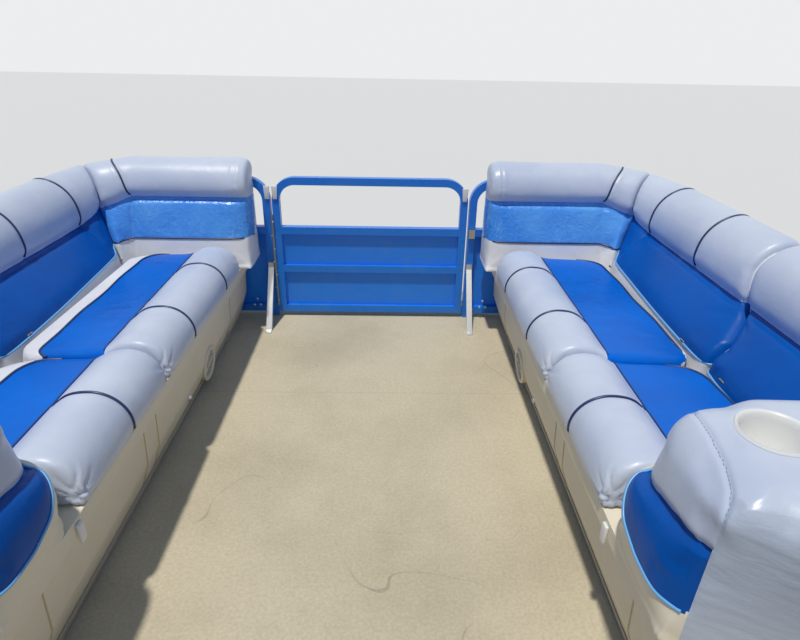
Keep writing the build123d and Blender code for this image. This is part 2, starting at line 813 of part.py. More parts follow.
# Seat base: moulded tub with a leaning foot, a rim under the cushions and two storage wells
# Rows: inboard from the fence line, over deck, for the aisle side of a base with this foot
base_profile = [(642, 0), (684, 120), (691, 235), (base_rim_in, 262), (base_rim_in, base_height)]


def base_outline(plane, inset, rows, rear_in):
    """Section of a seat base, inset for the inner wall."""
    with BuildSketch(plane) as outline:
        with BuildLine():
            points = [(rear_in, 0)] + rows + [(rear_in, base_height)]
            Polyline(*points, close=True)
        make_face()
        if inset:
            offset(amount=-inset, kind=Kind.INTERSECTION)
    return outline.sketch


base_front_y = fence_bow_y - back_foot_gap
well_low_in = side_rear_in + 25
well_high_in = base_rim_in - 85
# Rows: aft and front end of each storage well
side_wells = [
    (cushion_aft_y + 45, joint_y - 40),
    (joint_y + 40, cushion_front_y - 60),
]
speaker_y = fence_bow_y - 620
speaker_z = 95
speaker_radius = 62
speaker_hole = 50
kick_run = base_profile[1][0] - base_profile[0][0]
kick_lean = math.degrees(math.atan2(kick_run, base_profile[1][1]))
speaker_in = base_profile[0][0] + speaker_z * kick_run / base_profile[1][1]
speaker_plane = Plane(
    origin=(fence_x - speaker_in, speaker_y, deck_z + speaker_z),
    x_dir=(0, 1, 0),
    z_dir=(-math.cos(math.radians(kick_lean)), 0, -math.sin(math.radians(kick_lean))),
)
with BuildPart() as starboard_base:
    base_run = base_front_y - lounge_aft_y
    extrude(base_outline(side_plane(lounge_aft_y), 0, base_profile, back_foot_gap), amount=base_run)
    outer_corner = starboard_base.edges().filter_by(Axis.Z).group_by(Axis.X)[-1].sort_by(Axis.Y)[-1]
    fillet(outer_corner, fence_corner_radius - back_foot_gap)
    with BuildPart(mode=Mode.SUBTRACT) as starboard_tub:
        inner = base_outline(side_plane(lounge_aft_y + base_wall), base_wall, base_profile, back_foot_gap)
        extrude(inner, amount=base_front_y - lounge_aft_y - 2 * base_wall)
        inner_corner = starboard_tub.edges().filter_by(Axis.Z).group_by(Axis.X)[-1].sort_by(Axis.Y)[-1]
        fillet(inner_corner, fence_corner_radius - back_foot_gap - base_wall)
    for well_aft, well_front in side_wells:
        well_x = fence_x - (well_low_in + well_high_in) / 2
        with Locations((well_x, (well_aft + well_front) / 2, deck_z + base_height)):
            Box(well_high_in - well_low_in, well_front - well_aft, 3 * base_wall, mode=Mode.SUBTRACT)
    with BuildSketch(speaker_plane):
        Circle(speaker_hole)
    extrude(amount=-2 * base_wall, mode=Mode.SUBTRACT)

# Speaker: flanged ring with a ribbed grille across it
with BuildPart() as starboard_speaker:
    with BuildSketch(speaker_plane.offset(seat_clearance)):
        Circle(speaker_radius)
        Circle(speaker_hole - 6, mode=Mode.SUBTRACT)
    extrude(amount=8)
    with BuildSketch(speaker_plane.offset(seat_clearance)):
        Circle(speaker_hole - 5)
        with Locations(*[(0, offset_x) for offset_x in range(-36, 37, 12)]):
            Rectangle(2 * speaker_hole, 5, mode=Mode.SUBTRACT)
        Rectangle(8, 2 * speaker_hole - 12)
    extrude(amount=4)
with BuildPart() as speakers:
    add(starboard_speaker.part)
    mirror(starboard_speaker.part, about=Plane.YZ)
publish(speakers, "speaker_grilles")

# Armrest block with its cup recess
armrest_front_y = cushion_aft_y - soft_gap
armrest_aft_y = lounge_aft_y + 5
armrest_in = base_rim_in + 12
cup_x = fence_x - armrest_in + 175
cup_y = armrest_front_y - 150
with BuildPart() as starboard_armrest:
    with BuildSketch(Plane.XY.offset(deck_z + base_height + seat_clearance)) as arm_plan:
        with Locations((fence_x - (armrest_in + back_foot_gap) / 2, (armrest_front_y + armrest_aft_y) / 2)):
            Rectangle(armrest_in - back_foot_gap, armrest_front_y - armrest_aft_y)
        fillet(arm_plan.vertices().sort_by(Axis.X)[:2], armrest_corner)
        fillet(arm_plan.vertices().sort_by(Axis.X)[-2:], armrest_corner / 2)
    extrude(amount=armrest_height - base_height)
    fillet(starboard_armrest.faces().sort_by(Axis.Z)[-1].edges(), armrest_edge)
    with Locations((cup_x, cup_y, deck_z + armrest_height + 1)):
        recess_radius = cup_radius + cup_wall + 0.5
        Cylinder(recess_radius, cup_depth + 6, align=hanging, mode=Mode.SUBTRACT)

# Cup holder: flanged cup that drops into the armrest
with BuildPart() as starboard_cup:
    cup_plane = Plane(
        origin=(cup_x, cup_y, deck_z + armrest_height + seat_clearance),
        x_dir=(1, 0, 0),
        z_dir=(0, -1, 0),
    )
    with BuildSketch(cup_plane):
        with BuildLine():
            rim = cup_radius + cup_flange
            Polyline(
                (0, -cup_depth),
                (cup_radius + cup_wall, -cup_depth),
                (cup_radius + cup_wall, 0),
                (rim, 0),
                (rim - 3, 4),
                (cup_radius, 4),
                (cup_radius, -cup_depth + cup_wall),
                (0, -cup_depth + cup_wall),
                close=True,
            )
        make_face()
    revolve(axis=Axis((cup_x, cup_y, 0), (0, 0, 1)))
with BuildPart() as cups:
    add(starboard_cup.part)
    mirror(starboard_cup.part, about=Plane.YZ)
publish(cups, "cup_holders")

# Gate braces: flat struts from the gate posts down to the deck
brace_x = bow_post_x + half_tube
brace_top = 234
brace_reach = 160
with BuildPart() as braces:
    for side in (-1, 1):
        with BuildSketch(Plane.YZ.offset(side * brace_x - 12)):
            with BuildLine():
                face_y = fence_bow_y - half_tube - seat_clearance
                Polyline(
                    (face_y, deck_z + brace_top + 30),
                    (face_y, deck_z + brace_top),
                    (face_y - brace_reach + 26, deck_z + 6),
                    (face_y - brace_reach + 26, deck_z),
                    (face_y - brace_reach - 26, deck_z),
                    (face_y - brace_reach - 26, deck_z + 6),
                    (face_y - brace_reach, deck_z + 6),
                    (face_y - 6, deck_z + brace_top + 8),
                    (face_y - 6, deck_z + brace_top + 30),
                    close=True,
                )
            make_face()
        extrude(amount=24)
publish(braces, "gate_braces")

# Both sides of the fixed lounge pieces
# Rows: starboard piece, node
pair_rows = [
    (starboard_bow_back, "bow_backs"),
    (starboard_side_backs, "side_backs"),
    (starboard_base, "lounge_bases"),
    (starboard_armrest, "armrests"),
]
for piece, name in pair_rows:
    with BuildPart() as pair:
        add(piece.part)
        mirror(piece.part, about=Plane.YZ)
    publish(pair, name)

# Stern benches: base, hinged cushion and back on each side of the stern gate
bench_inner_x = stern_gate_half_width + 80
bench_outer_x = fence_x - back_foot_gap
bench_rear_in = back_rows["stern"][4] + 12
bench_shift = bench_rear_in - side_rear_in
bench_profile = [(u + bench_shift, w) for u, w in base_profile]
bench_well_low = fence_stern_y + bench_rear_in + 25
bench_well_high = fence_stern_y + base_rim_in + bench_shift - 85
bench_width = bench_outer_x - bench_inner_x
with BuildPart() as bench:
    extrude(base_outline(stern_plane(bench_inner_x), 0, bench_profile, back_foot_gap), amount=bench_width)
    stern_corner = bench.edges().filter_by(Axis.Z).group_by(Axis.X)[-1].sort_by(Axis.Y)[0]
    fillet(stern_corner, fence_stern_radius - back_foot_gap)
    inner = base_outline(stern_plane(bench_inner_x + base_wall), base_wall, bench_profile, back_foot_gap)
    extrude(inner, amount=bench_width - 2 * base_wall, mode=Mode.SUBTRACT)
    well_x = (bench_inner_x + bench_outer_x) / 2
    with Locations((well_x, (bench_well_low + bench_well_high) / 2, deck_z + base_height)):
        Box(bench_width - 110, bench_well_high - bench_well_low, 3 * base_wall, mode=Mode.SUBTRACT)
with BuildPart() as bench_bases:
    add(bench.part)
    mirror(bench.part, about=Plane.YZ)
publish(bench_bases, "bench_bases")

with BuildPart() as starboard_bench_cushion:
    extrude(cushion_section(stern_plane(bench_inner_x), bench_rear_in), amount=bench_width - 14)
    fillet(starboard_bench_cushion.edges().filter_by(Axis.Z).sort_by(Axis.Y)[:2], cushion_corner)
publish(starboard_bench_cushion, "starboard_bench_cushion")

with BuildPart() as port_bench_cushion:
    mirror(starboard_bench_cushion.part, about=Plane.YZ)
publish(port_bench_cushion, "port_bench_cushion")

with BuildPart() as bench_back:
    back_span = fence_x - fence_stern_radius - 15 - bench_inner_x
    extrude(back_section(stern_plane(bench_inner_x), back_rows["stern"]), amount=back_span)
with BuildPart() as bench_backs:
    add(bench_back.part)
    mirror(bench_back.part, about=Plane.YZ)
publish(bench_backs, "bench_backs")

# Seat hinge clips: a strap standing on the base behind each cushion, with its knuckle on top
clip_inset = 5
clip_height = 384
clip_radius = 6
clip_width = 30
clip_thickness = 5


def hinge_clip(plane, rear_in):
    """One clip, its knuckle just behind and above the cushion's rear edge."""
    with BuildPart() as clip:
        with BuildSketch(plane):
            with Locations((rear_in - clip_inset, base_height)):
                Rectangle(clip_thickness, clip_height - base_height, align=(Align.CENTER, Align.MIN))
            with Locations((rear_in - clip_inset, clip_height)):
                Circle(clip_radius)
        extrude(amount=clip_width)
    return clip.part


side_clip_stations = [y for _, aft_y, front_y in side_cushions for y in (aft_y + 95, front_y - 125)]
bench_clip_stations = [bench_inner_x + 140, bench_outer_x - 230]
with BuildPart() as hinge_clips:
    for station in side_clip_stations:
        clip = hinge_clip(side_plane(station), side_rear_in)
        add(clip)
        mirror(clip, about=Plane.YZ)
    for station in bench_clip_stations:
        clip = hinge_clip(stern_plane(station), bench_rear_in)
        add(clip)
        mirror(clip, about=Plane.YZ)
publish(hinge_clips, "seat_hinge_clips")

# Helm console: hollow moulded pod. Rows: distance aft of its front face, height over deck
console_front_y = lounge_aft_y - 70
console_width = 622
console_outer_x = fence_x - half_tube - 12
console_inner_x = console_outer_x - console_width
console_wall = 6
console_rows = [(0, 0), (32, 880), (90, 950), (165, 950), (335, 735), (340, 690), (300, 640), (290, 0)]
dash_top = console_rows[3]
dash_low = console_rows[4]
wheel_x = console_inner_x + 260
wheel_radius = 175
wheel_tube = 12
wheel_stand = 75
knee_low = 90
knee_high = 600


def console_outline(x, inset):
    """Side profile of the console at an x station, inset for the inner wall."""
    with BuildSketch(Plane.YZ.offset(x)) as outline:
        with BuildLine():
            Polyline(*[(console_front_y - aft, deck_z + height) for aft, height in console_rows], close=True)
        make_face()
        if inset:
            offset(amount=-inset, kind=Kind.INTERSECTION)
    return outline.sketch


# Dash plane: its slope, middle and outward normal
dash_run = dash_low[0] - dash_top[0]
dash_fall = dash_top[1] - dash_low[1]
dash_slope = math.hypot(dash_run, dash_fall)
wheel_normal = Vector(0, -dash_fall / dash_slope, dash_run / dash_slope)
dash_middle = Vector(
    wheel_x,
    console_front_y - (dash_top[0] + dash_low[0]) / 2,
    deck_z + (dash_top[1] + dash_low[1]) / 2,
)
# Rows: across from the dash's middle, up its slope, bezel radius
gauge_rows = [(-190, 62, 34), (-190, -14, 34), (-95, 88, 28), (95, 88, 28)]
bezel_height = 8
with BuildPart() as console:
    extrude(console_outline(console_inner_x, 0), amount=console_outer_x - console_inner_x)
    inner = console_outline(console_inner_x + console_wall, console_wall)
    extrude(inner, amount=console_outer_x - console_inner_x - 2 * console_wall, mode=Mode.SUBTRACT)
    knee_y = console_front_y - dash_low[0]
    with Locations(((console_inner_x + console_outer_x) / 2, knee_y, deck_z + (knee_low + knee_high) / 2)):
        Box(console_outer_x - console_inner_x - 120, 160, knee_high - knee_low, mode=Mode.SUBTRACT)
    with BuildSketch(Plane(origin=dash_middle, x_dir=(1, 0, 0), z_dir=wheel_normal)):
        for across, up, bezel_radius in gauge_rows:
            with Locations((across, up)):
                Circle(bezel_radius)
    extrude(amount=bezel_height)
publish(console, "helm_console")

# Windscreen: bent acrylic sheet standing on the console's top
screen_height = 190
screen_thickness = 5
with BuildPart() as windscreen:
    screen_z = deck_z + console_rows[2][1] + seat_clearance
    with BuildSketch(Plane.XY.offset(screen_z)):
        with BuildLine() as screen_line:
            FilletPolyline(
                (console_inner_x + 25, console_front_y - 150),
                (console_inner_x + 45, console_front_y - 98),
                (console_outer_x - 45, console_front_y - 98),
                (console_outer_x - 25, console_front_y - 150),
                radius=30,
            )
            offset(amount=screen_thickness, side=Side.LEFT)
        make_face()
    extrude(amount=screen_height)
publish(windscreen, "windscreen")

# Steering wheel over the dash
wheel_centre = dash_middle + wheel_normal * wheel_stand
wheel_plane = Plane(origin=wheel_centre, x_dir=(1, 0, 0), z_dir=wheel_normal)
with BuildPart() as steering_wheel:
    with BuildSketch(Plane(origin=wheel_centre, x_dir=(1, 0, 0), z_dir=wheel_normal.cross(Vector(1, 0, 0)))):
        with Locations((wheel_radius - wheel_tube, 0)):
            Circle(wheel_tube)
    revolve(axis=Axis(wheel_centre, wheel_normal))
    with BuildSketch(wheel_plane.offset(-10)):
        with PolarLocations((wheel_radius - wheel_tube) / 2, 3, 90):
            Rectangle(wheel_radius - wheel_tube, 26)
    extrude(amount=6)
    with BuildSketch(wheel_plane.offset(-45)):
        Circle(36)
    extrude(amount=45)
    with BuildSketch(wheel_plane.offset(seat_clearance - wheel_stand)):
        Circle(13)
    extrude(amount=wheel_stand - 40)
publish(steering_wheel, "steering_wheel")

# Control box on the dash with its lever
with BuildPart() as control_box:
    box_at = dash_middle + Vector(235, 0, 0) + wheel_normal * seat_clearance
    box_plane = Plane(origin=box_at, x_dir=(1, 0, 0), z_dir=wheel_normal)
    with BuildSketch(box_plane):
        RectangleRounded(90, 130, 15)
    extrude(amount=60)
    fillet(control_box.faces().sort_by(Axis.Y)[0].edges(), 6)
    with BuildSketch(box_plane.offset(30)):
        with Locations((-50, 70)):
            RectangleRounded(14, 150, 6)
    extrude(amount=22)
    with BuildSketch(box_plane.offset(30)):
        with Locations((-50, 150)):
            Circle(20)
    extrude(amount=34)
publish(control_box, "control_box")

# Helm chair: pedestal fixed to the deck, seat and back turn on it
chair_x = wheel_x
chair_y = console_front_y - 850
post_radius = 36
seat_height = 350
plate_thickness = 20
chair_cushion = 110
with BuildPart() as pedestal:
    with BuildSketch(Plane(origin=(chair_x, chair_y, deck_z), x_dir=(1, 0, 0), z_dir=(0, -1, 0))):
        with BuildLine():
            Polyline(
                (0, 0),
                (115, 0),
                (115, 8),
                (60, 22),
                (post_radius, 60),
                (post_radius, 255),
                (post_radius - 8, 260),
                (post_radius - 8, seat_height - plate_thickness - seat_clearance),
                (0, seat_height - plate_thickness - seat_clearance),
                close=True,
            )
        make_face()
    revolve(axis=Axis((chair_x, chair_y, 0), (0, 0, 1)))
publish(pedestal, "chair_pedestal")

with BuildPart() as chair_seat:
    with BuildSketch(Plane.XY.offset(deck_z + seat_height - plate_thickness)):
        with Locations((chair_x, chair_y)):
            RectangleRounded(200, 220, 20)
    extrude(amount=plate_thickness)
    with BuildSketch(Plane.XY.offset(deck_z + seat_height)):
        with Locations((chair_x, chair_y + 10)):
            RectangleRounded(470, 450, 110)
    extrude(amount=chair_cushion)
    fillet(chair_seat.faces().sort_by(Axis.Z)[-1].edges(), 40)
publish(chair_seat, "chair_seat")

# Rows: height over deck, distance aft of the chair's axis, for the front of the back cushion
back_lean = [(seat_height + chair_cushion + seat_clearance, 150), (seat_height + 520, 215)]
with BuildPart() as chair_back:
    with BuildSketch(Plane.YZ.offset(chair_x - 220)):
        with BuildLine():
            (low_z, low_aft), (high_z, high_aft) = back_lean
            Polyline(
                (chair_y - low_aft + 25, deck_z + low_z),
                (chair_y - high_aft + 10, deck_z + high_z),
                (chair_y - high_aft - 80, deck_z + high_z),
                (chair_y - low_aft - 75, deck_z + low_z),
                close=True,
            )
        make_face()
    extrude(amount=440)
    fillet(chair_back.edges().filter_by(Axis.X), 30)
    fillet(chair_back.faces().sort_by(Axis.Y)[0].edges(), 20)
publish(chair_back, "chair_back")

# Boarding ladder on the stern deck, stored leaning on the stern fence
ladder_inset = 360
ladder_x = fence_x - ladder_inset
ladder_width = 360
ladder_tube = 25
ladder_top = 612
ladder_hinge_y = deck_aft_y - 28
ladder_hinge_z = deck_z + 22
ladder_rise = deck_z + ladder_top - ladder_hinge_z
ladder_run = fence_stern_y - half_tube - seat_clearance - ladder_tube / 2 - ladder_hinge_y
ladder_length = math.hypot(ladder_rise, ladder_run)
ladder_angle = math.degrees(math.atan2(ladder_rise, ladder_run))
lean = math.radians(ladder_angle)
ladder_up = Vector(0, math.cos(lean), math.sin(lean))
ladder_origin = Vector(ladder_x, ladder_hinge_y, ladder_hinge_z)
rung_pitch = 230
with BuildPart() as ladder:
    with BuildSketch(Plane(origin=ladder_origin, x_dir=(1, 0, 0), z_dir=ladder_up)):
        with Locations((-ladder_width / 2, 0), (ladder_width / 2, 0)):
            Circle(ladder_tube / 2)
    extrude(amount=ladder_length)
    ladder_tip = ladder_origin + ladder_up * ladder_length
    with Locations(*[ladder_tip + Vector(x, 0, 0) for x in (-ladder_width / 2, ladder_width / 2)]):
        Sphere(ladder_tube / 2)
    for number in range(3):
        rung_at = ladder_tip - ladder_up * (30 + number * rung_pitch) - Vector(ladder_width / 2, 0, 0)
        with BuildSketch(Plane(origin=rung_at, x_dir=ladder_up, z_dir=(1, 0, 0))):
            RectangleRounded(50, 20, 6)
        extrude(amount=ladder_width)
    pin_start = ladder_origin - Vector(ladder_width / 2 + 26, 0, 0)
    with BuildSketch(Plane(origin=pin_start, x_dir=(0, 1, 0), z_dir=(1, 0, 0))):
        Circle(6)
    extrude(amount=ladder_width + 52)
publish(ladder, "boarding_ladder")

with BuildPart() as ladder_brackets:
    for side in (-1, 1):
        cheek_x = ladder_x + side * (ladder_width / 2 + 20)
        with BuildSketch(Plane.YZ.offset(cheek_x - 3)):
            with BuildLine():
                Polyline(
                    (deck_aft_y + 60, deck_z + trim_lip_thickness),
                    (ladder_hinge_y - 14, deck_z + trim_lip_thickness),
                    (ladder_hinge_y - 14, ladder_hinge_z + 14),
                    (ladder_hinge_y + 14, ladder_hinge_z + 14),
                    (deck_aft_y + 60, deck_z + trim_lip_thickness + 8),
                    close=True,
                )
            make_face()
            with Locations((ladder_hinge_y, ladder_hinge_z)):
                Circle(6.08, mode=Mode.SUBTRACT)
        extrude(amount=6)
publish(ladder_brackets, "ladder_brackets")

# Motor pod between the tubes with its transom. Rows: distance from the deck's aft edge to the stern, height
pod_rows = [
    (-900, member_z),
    (30, member_z),
    (60, 560),
    (motor_setback - transom_thickness, 560),
    (motor_setback - transom_thickness, transom_height),
    (motor_setback, transom_height),
    (motor_setback, 240),
    (motor_setback - 60, 225),
    (-820, 420),
]
pod_wall = 6
pod_chine = 60


def pod_form(inset):
    """Closed form of the pod, inset for the inner wall."""
    half_width = transom_half_width - inset
    with BuildPart() as form:
        with BuildSketch(Plane.YZ.offset(-half_width)) as outline:
            with BuildLine():
                Polyline(*[(deck_aft_y - aft, height) for aft, height in pod_rows], close=True)
            make_face()
            if inset:
                offset(amount=-inset, kind=Kind.INTERSECTION)
        extrude(amount=2 * half_width)
        chine = [edge for edge in form.edges() if edge.center().Z < 430 and edge.length > 700]
        chine = [edge for edge in chine if abs(edge.center().X) > half_width - 1]
        chamfer(chine, pod_chine)
    return form.part


with BuildPart() as motor_pod:
    add(pod_form(0))
    add(pod_form(pod_wall), mode=Mode.SUBTRACT)
publish(motor_pod, "motor_pod")


# Outboard on its transom
def hang(piece, angle, name):
    """Place a motor piece on the transom at a tilt angle and publish it."""
    with BuildPart() as hung:
        add(piece.part.moved(Location((0, tilt_y, tilt_z), (angle, 0, 0))))
    publish(hung, name)


hang(clamp_bracket, 0, "clamp_bracket")
hang(swivel_bracket, -rest_tilt, "swivel_bracket")
hang(motor_leg, -rest_tilt, "motor_leg")
hang(motor_cowl, -rest_tilt, "motor_cowl")
hang(engine_block, -rest_tilt, "engine_block")
hang(propeller, -rest_tilt, "propeller")

# Cleats on the four corners of the deck
cleat_x = board_half - 55
with BuildPart() as cleats:
    for x in (-cleat_x, cleat_x):
        for y in (deck_front_y - 215, deck_aft_y + 150):
            with Locations((x, y, deck_z)):
                Box(30, 90, 12, align=upright)
            with Locations((x, y - 25, deck_z + 10), (x, y + 25, deck_z + 10)):
                Cylinder(8, 32, align=upright)
            with BuildSketch(Plane(origin=(x, y - 85, deck_z + 46), x_dir=(-1, 0, 0), z_dir=(0, 1, 0))):
                Circle(9)
            extrude(amount=170)
publish(cleats, "deck_cleats")

# Navigation lights on the bow fence and the stern light pole
side_light = (70, 32, 28)
pole_height = 1150
pole_radius = 10
pole_foot_radius = 16
pole_inset = 75
lamp_radius = 22
lamp_height = 55
with BuildPart() as lights:
    light_x = fence_x - fence_corner_radius - 90
    light_y = fence_bow_y + half_tube + side_light[1] / 2 + seat_clearance
    light_z = deck_z + rail_middle_top - half_tube
    with Locations((light_x, light_y, light_z), (-light_x, light_y, light_z)):
        Box(*side_light)
    fillet(lights.edges().filter_by(Axis.Z), side_light[2] / 4)
    pole_x = -fence_x + pole_inset
    pole_y = fence_stern_y - half_tube - pole_foot_radius - 1
    with Locations((pole_x, pole_y, deck_z)):
        Cylinder(pole_radius, pole_height, align=upright)
        Cylinder(pole_foot_radius, 60, align=upright)
    with Locations((pole_x, pole_y, deck_z + pole_height)):
        Cylinder(lamp_radius, lamp_height, align=upright)
publish(lights, "navigation_lights")

# Latches on the posts opposite the hinges
with BuildPart() as latches:
    latch_z = deck_z + rail_middle_top - 16
    latch_depth = 18
    with Locations(
        (bow_post_x + half_tube, fence_bow_y - half_tube - latch_depth / 2 - seat_clearance, latch_z),
        (stern_post_x + half_tube, fence_stern_y + half_tube + latch_depth / 2 + seat_clearance, latch_z),
    ):
        Box(26, latch_depth, 40)
    side_latch_x = -fence_x + half_tube + latch_depth / 2 + seat_clearance
    with Locations((side_latch_x, side_gate_aft_y - half_tube, latch_z)):
        Box(latch_depth, 26, 40)
publish(latches, "gate_latches")
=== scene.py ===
"""Looks of the pontoon boat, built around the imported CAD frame.

Each sub-assembly is a class that holds its sizes as dataclass fields, builds its pieces and dresses them.
Each finish is a frozen dataclass named for what the real surface is made of. Lengths are metres, and
finishes give the sizes of their patterns in millimetres. +Z is up, +Y is to the bow, +X is to starboard.
"""

from __future__ import annotations

import json
import logging
import math
from dataclasses import astuple, dataclass, field
from enum import Enum
from typing import Any, Callable, Iterable, Optional, Sequence

import bpy
import numpy as np
from mathutils import Matrix, Vector
from mathutils.bvhtree import BVHTree

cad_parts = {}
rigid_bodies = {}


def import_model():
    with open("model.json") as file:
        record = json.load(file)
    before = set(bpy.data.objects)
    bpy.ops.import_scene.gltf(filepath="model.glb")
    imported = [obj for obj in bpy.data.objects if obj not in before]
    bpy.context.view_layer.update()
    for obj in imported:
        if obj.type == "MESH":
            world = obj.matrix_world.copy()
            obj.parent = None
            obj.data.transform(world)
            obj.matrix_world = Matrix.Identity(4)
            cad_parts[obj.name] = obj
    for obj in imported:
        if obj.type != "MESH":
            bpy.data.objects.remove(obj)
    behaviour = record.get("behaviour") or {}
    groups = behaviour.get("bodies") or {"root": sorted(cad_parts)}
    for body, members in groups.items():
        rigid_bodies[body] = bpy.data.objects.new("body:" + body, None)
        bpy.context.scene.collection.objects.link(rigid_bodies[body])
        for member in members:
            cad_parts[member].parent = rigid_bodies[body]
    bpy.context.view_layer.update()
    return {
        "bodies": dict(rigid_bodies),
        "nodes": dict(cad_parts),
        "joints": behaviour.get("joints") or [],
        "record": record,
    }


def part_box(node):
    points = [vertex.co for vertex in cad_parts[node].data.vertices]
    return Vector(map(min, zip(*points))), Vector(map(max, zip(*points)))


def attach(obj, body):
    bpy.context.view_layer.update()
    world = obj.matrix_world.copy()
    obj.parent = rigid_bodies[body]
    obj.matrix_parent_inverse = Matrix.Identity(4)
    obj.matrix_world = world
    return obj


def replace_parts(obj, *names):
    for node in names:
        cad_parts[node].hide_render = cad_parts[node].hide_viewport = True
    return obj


LOG = logging.getLogger("pontoon_boat")
UP = Vector((0, 0, 1))
FORWARD = Vector((0, 1, 0))
ACROSS = Vector((1, 0, 0))
MM = 0.001


def linear(hex_colour: str) -> tuple[float, float, float, float]:
    """Turn an sRGB hex colour into the linear colour that shaders use.

    Args:
        hex_colour: six hex digits.

    Returns:
        The linear red, green, blue and an alpha of 1.
    """
    channels = [int(hex_colour[place:place + 2], 16) / 255 for place in (0, 2, 4)]
    curve = [c / 12.92 if c <= 0.04045 else ((c + 0.055) / 1.055) ** 2.4 for c in channels]
    return (curve[0], curve[1], curve[2], 1.0)


def per_metre(size_mm: float) -> float:
    """Texture scale that gives a pattern one feature for each size_mm millimetres."""
    return 1000.0 / size_mm


def add_node(
    tree: bpy.types.NodeTree,
    kind: str,
    inputs: Optional[dict[Any, Any]] = None,
    **settings: Any,
) -> bpy.types.Node:
    """Add a shader node with its settings and links.

    Args:
        tree: node tree that gets the node.
        kind: Blender's name of the node's type.
        inputs: input name or index to a socket to link from, or a plain value.
        settings: attributes of the node.

    Returns:
        The new node.
    """
    node = tree.nodes.new(kind)
    for name, value in settings.items():
        setattr(node, name, value)
    for key, value in (inputs or {}).items():
        if isinstance(value, bpy.types.NodeSocket):
            tree.links.new(value, node.inputs[key])
        else:
            node.inputs[key].default_value = value
    return node


@dataclass(frozen=True)
class Brush:
    """A finish's node tree, with a short call for each kind of node that the patterns are made of."""

    tree: bpy.types.NodeTree
    shader: bpy.types.Node
    place: bpy.types.NodeSocket

    def add(self, kind: str, output: str, inputs: dict[Any, Any], **settings: Any) -> bpy.types.NodeSocket:
        """Add a node and return one output of it."""
        return add_node(self.tree, "ShaderNode" + kind, inputs, **settings).outputs[output]

    def noise(
        self, size_mm: float, detail: float, at: Optional[bpy.types.NodeSocket] = None, **inputs: float,
    ) -> bpy.types.NodeSocket:
        """Noise with one feature for each size_mm millimetres, at other coordinates where they are given."""
        place = self.place if at is None else at
        return self.add("TexNoise", "Fac", {
            "Vector": place, "Scale": per_metre(size_mm), "Detail": detail, **inputs})

    def ramp(
        self, value: bpy.types.NodeSocket, low: float = 0.0, high: float = 1.0, start: float = 0.0,
        stop: float = 1.0,
    ) -> bpy.types.NodeSocket:
        """Spread a value's range from low to high over start to stop."""
        return self.add("MapRange", "Result", {
            "Value": value, "From Min": low, "From Max": high, "To Min": start, "To Max": stop})

    def mix(self, share: Any, one: Any, two: Any, blend: str = "MIX") -> bpy.types.NodeSocket:
        """Mix two colours, each a socket or six hex digits."""
        one, two = (linear(colour) if isinstance(colour, str) else colour for colour in (one, two))
        node = add_node(self.tree, "ShaderNodeMix", {"Factor": share, 6: one, 7: two}, data_type="RGBA",
                        blend_type=blend)
        return node.outputs[2]

    def maths(self, operation: str, *values: Any, clamp: bool = False) -> bpy.types.NodeSocket:
        """Work out a value from sockets and numbers."""
        return add_node(self.tree, "ShaderNodeMath", dict(enumerate(values)), operation=operation,
                        use_clamp=clamp).outputs[0]

    def stretched(self, scale: tuple[float, float, float]) -> bpy.types.NodeSocket:
        """The coordinates, scaled along each axis."""
        return self.add("Mapping", "Vector", {"Vector": self.place, "Scale": scale})

    def axis(self, name: str) -> bpy.types.NodeSocket:
        """One of the coordinates."""
        return self.add("SeparateXYZ", name, {"Vector": self.place})

    def give(self, name: str, value: bpy.types.NodeSocket) -> None:
        """Link a value to an input of the shader."""
        self.tree.links.new(value, self.shader.inputs[name])

    def gloss(
        self, value: bpy.types.NodeSocket, roughness: float, least: float, most: float, low: float = 0.0,
        high: float = 1.0,
    ) -> None:
        """Let the roughness drift with a value, between shares of its own size."""
        self.give("Roughness", self.ramp(value, low, high, roughness * least, roughness * most))

    def bump(
        self, height: bpy.types.NodeSocket, strength: float, depth_mm: float,
        under: Optional[bpy.types.NodeSocket] = None,
    ) -> bpy.types.NodeSocket:
        """Bump from a height, over another bump where one is given."""
        inputs = {"Height": height, "Strength": strength, "Distance": depth_mm * MM}
        if under is not None:
            inputs["Normal"] = under
        return self.add("Bump", "Normal", inputs)


@dataclass(frozen=True)
class Finish:
    """A surface finish: its name, base colour and how it meets light."""

    name: str
    colour: str
    roughness: float
    metallic: float = 0.0
    ior: float = 1.5
    coat: float = 0.0
    coat_roughness: float = 0.03
    specular: float = 0.5

    def build(self) -> bpy.types.Material:
        """Make the material, or return it where it has been made before."""
        known = bpy.data.materials.get(self.name)
        if known is not None:
            return known
        material = bpy.data.materials.new(self.name)
        material.use_nodes = True
        tree = material.node_tree
        shader = tree.nodes["Principled BSDF"]
        for name, value in (
            ("Base Color", linear(self.colour)), ("Roughness", self.roughness), ("Metallic", self.metallic),
            ("IOR", self.ior), ("Coat Weight", self.coat), ("Specular IOR Level", self.specular),
            ("Coat Roughness", self.coat_roughness),
        ):
            shader.inputs[name].default_value = value
        self.pattern(Brush(tree, shader, add_node(tree, "ShaderNodeTexCoord").outputs["Object"]))
        material.diffuse_color = linear(self.colour)
        return material

    def pattern(self, brush: Brush) -> None:
        """Add the finish's own pattern; the plain finish has a faint unevenness of gloss."""
        brush.gloss(brush.noise(60, 3.0), self.roughness, 0.85, 1.15)


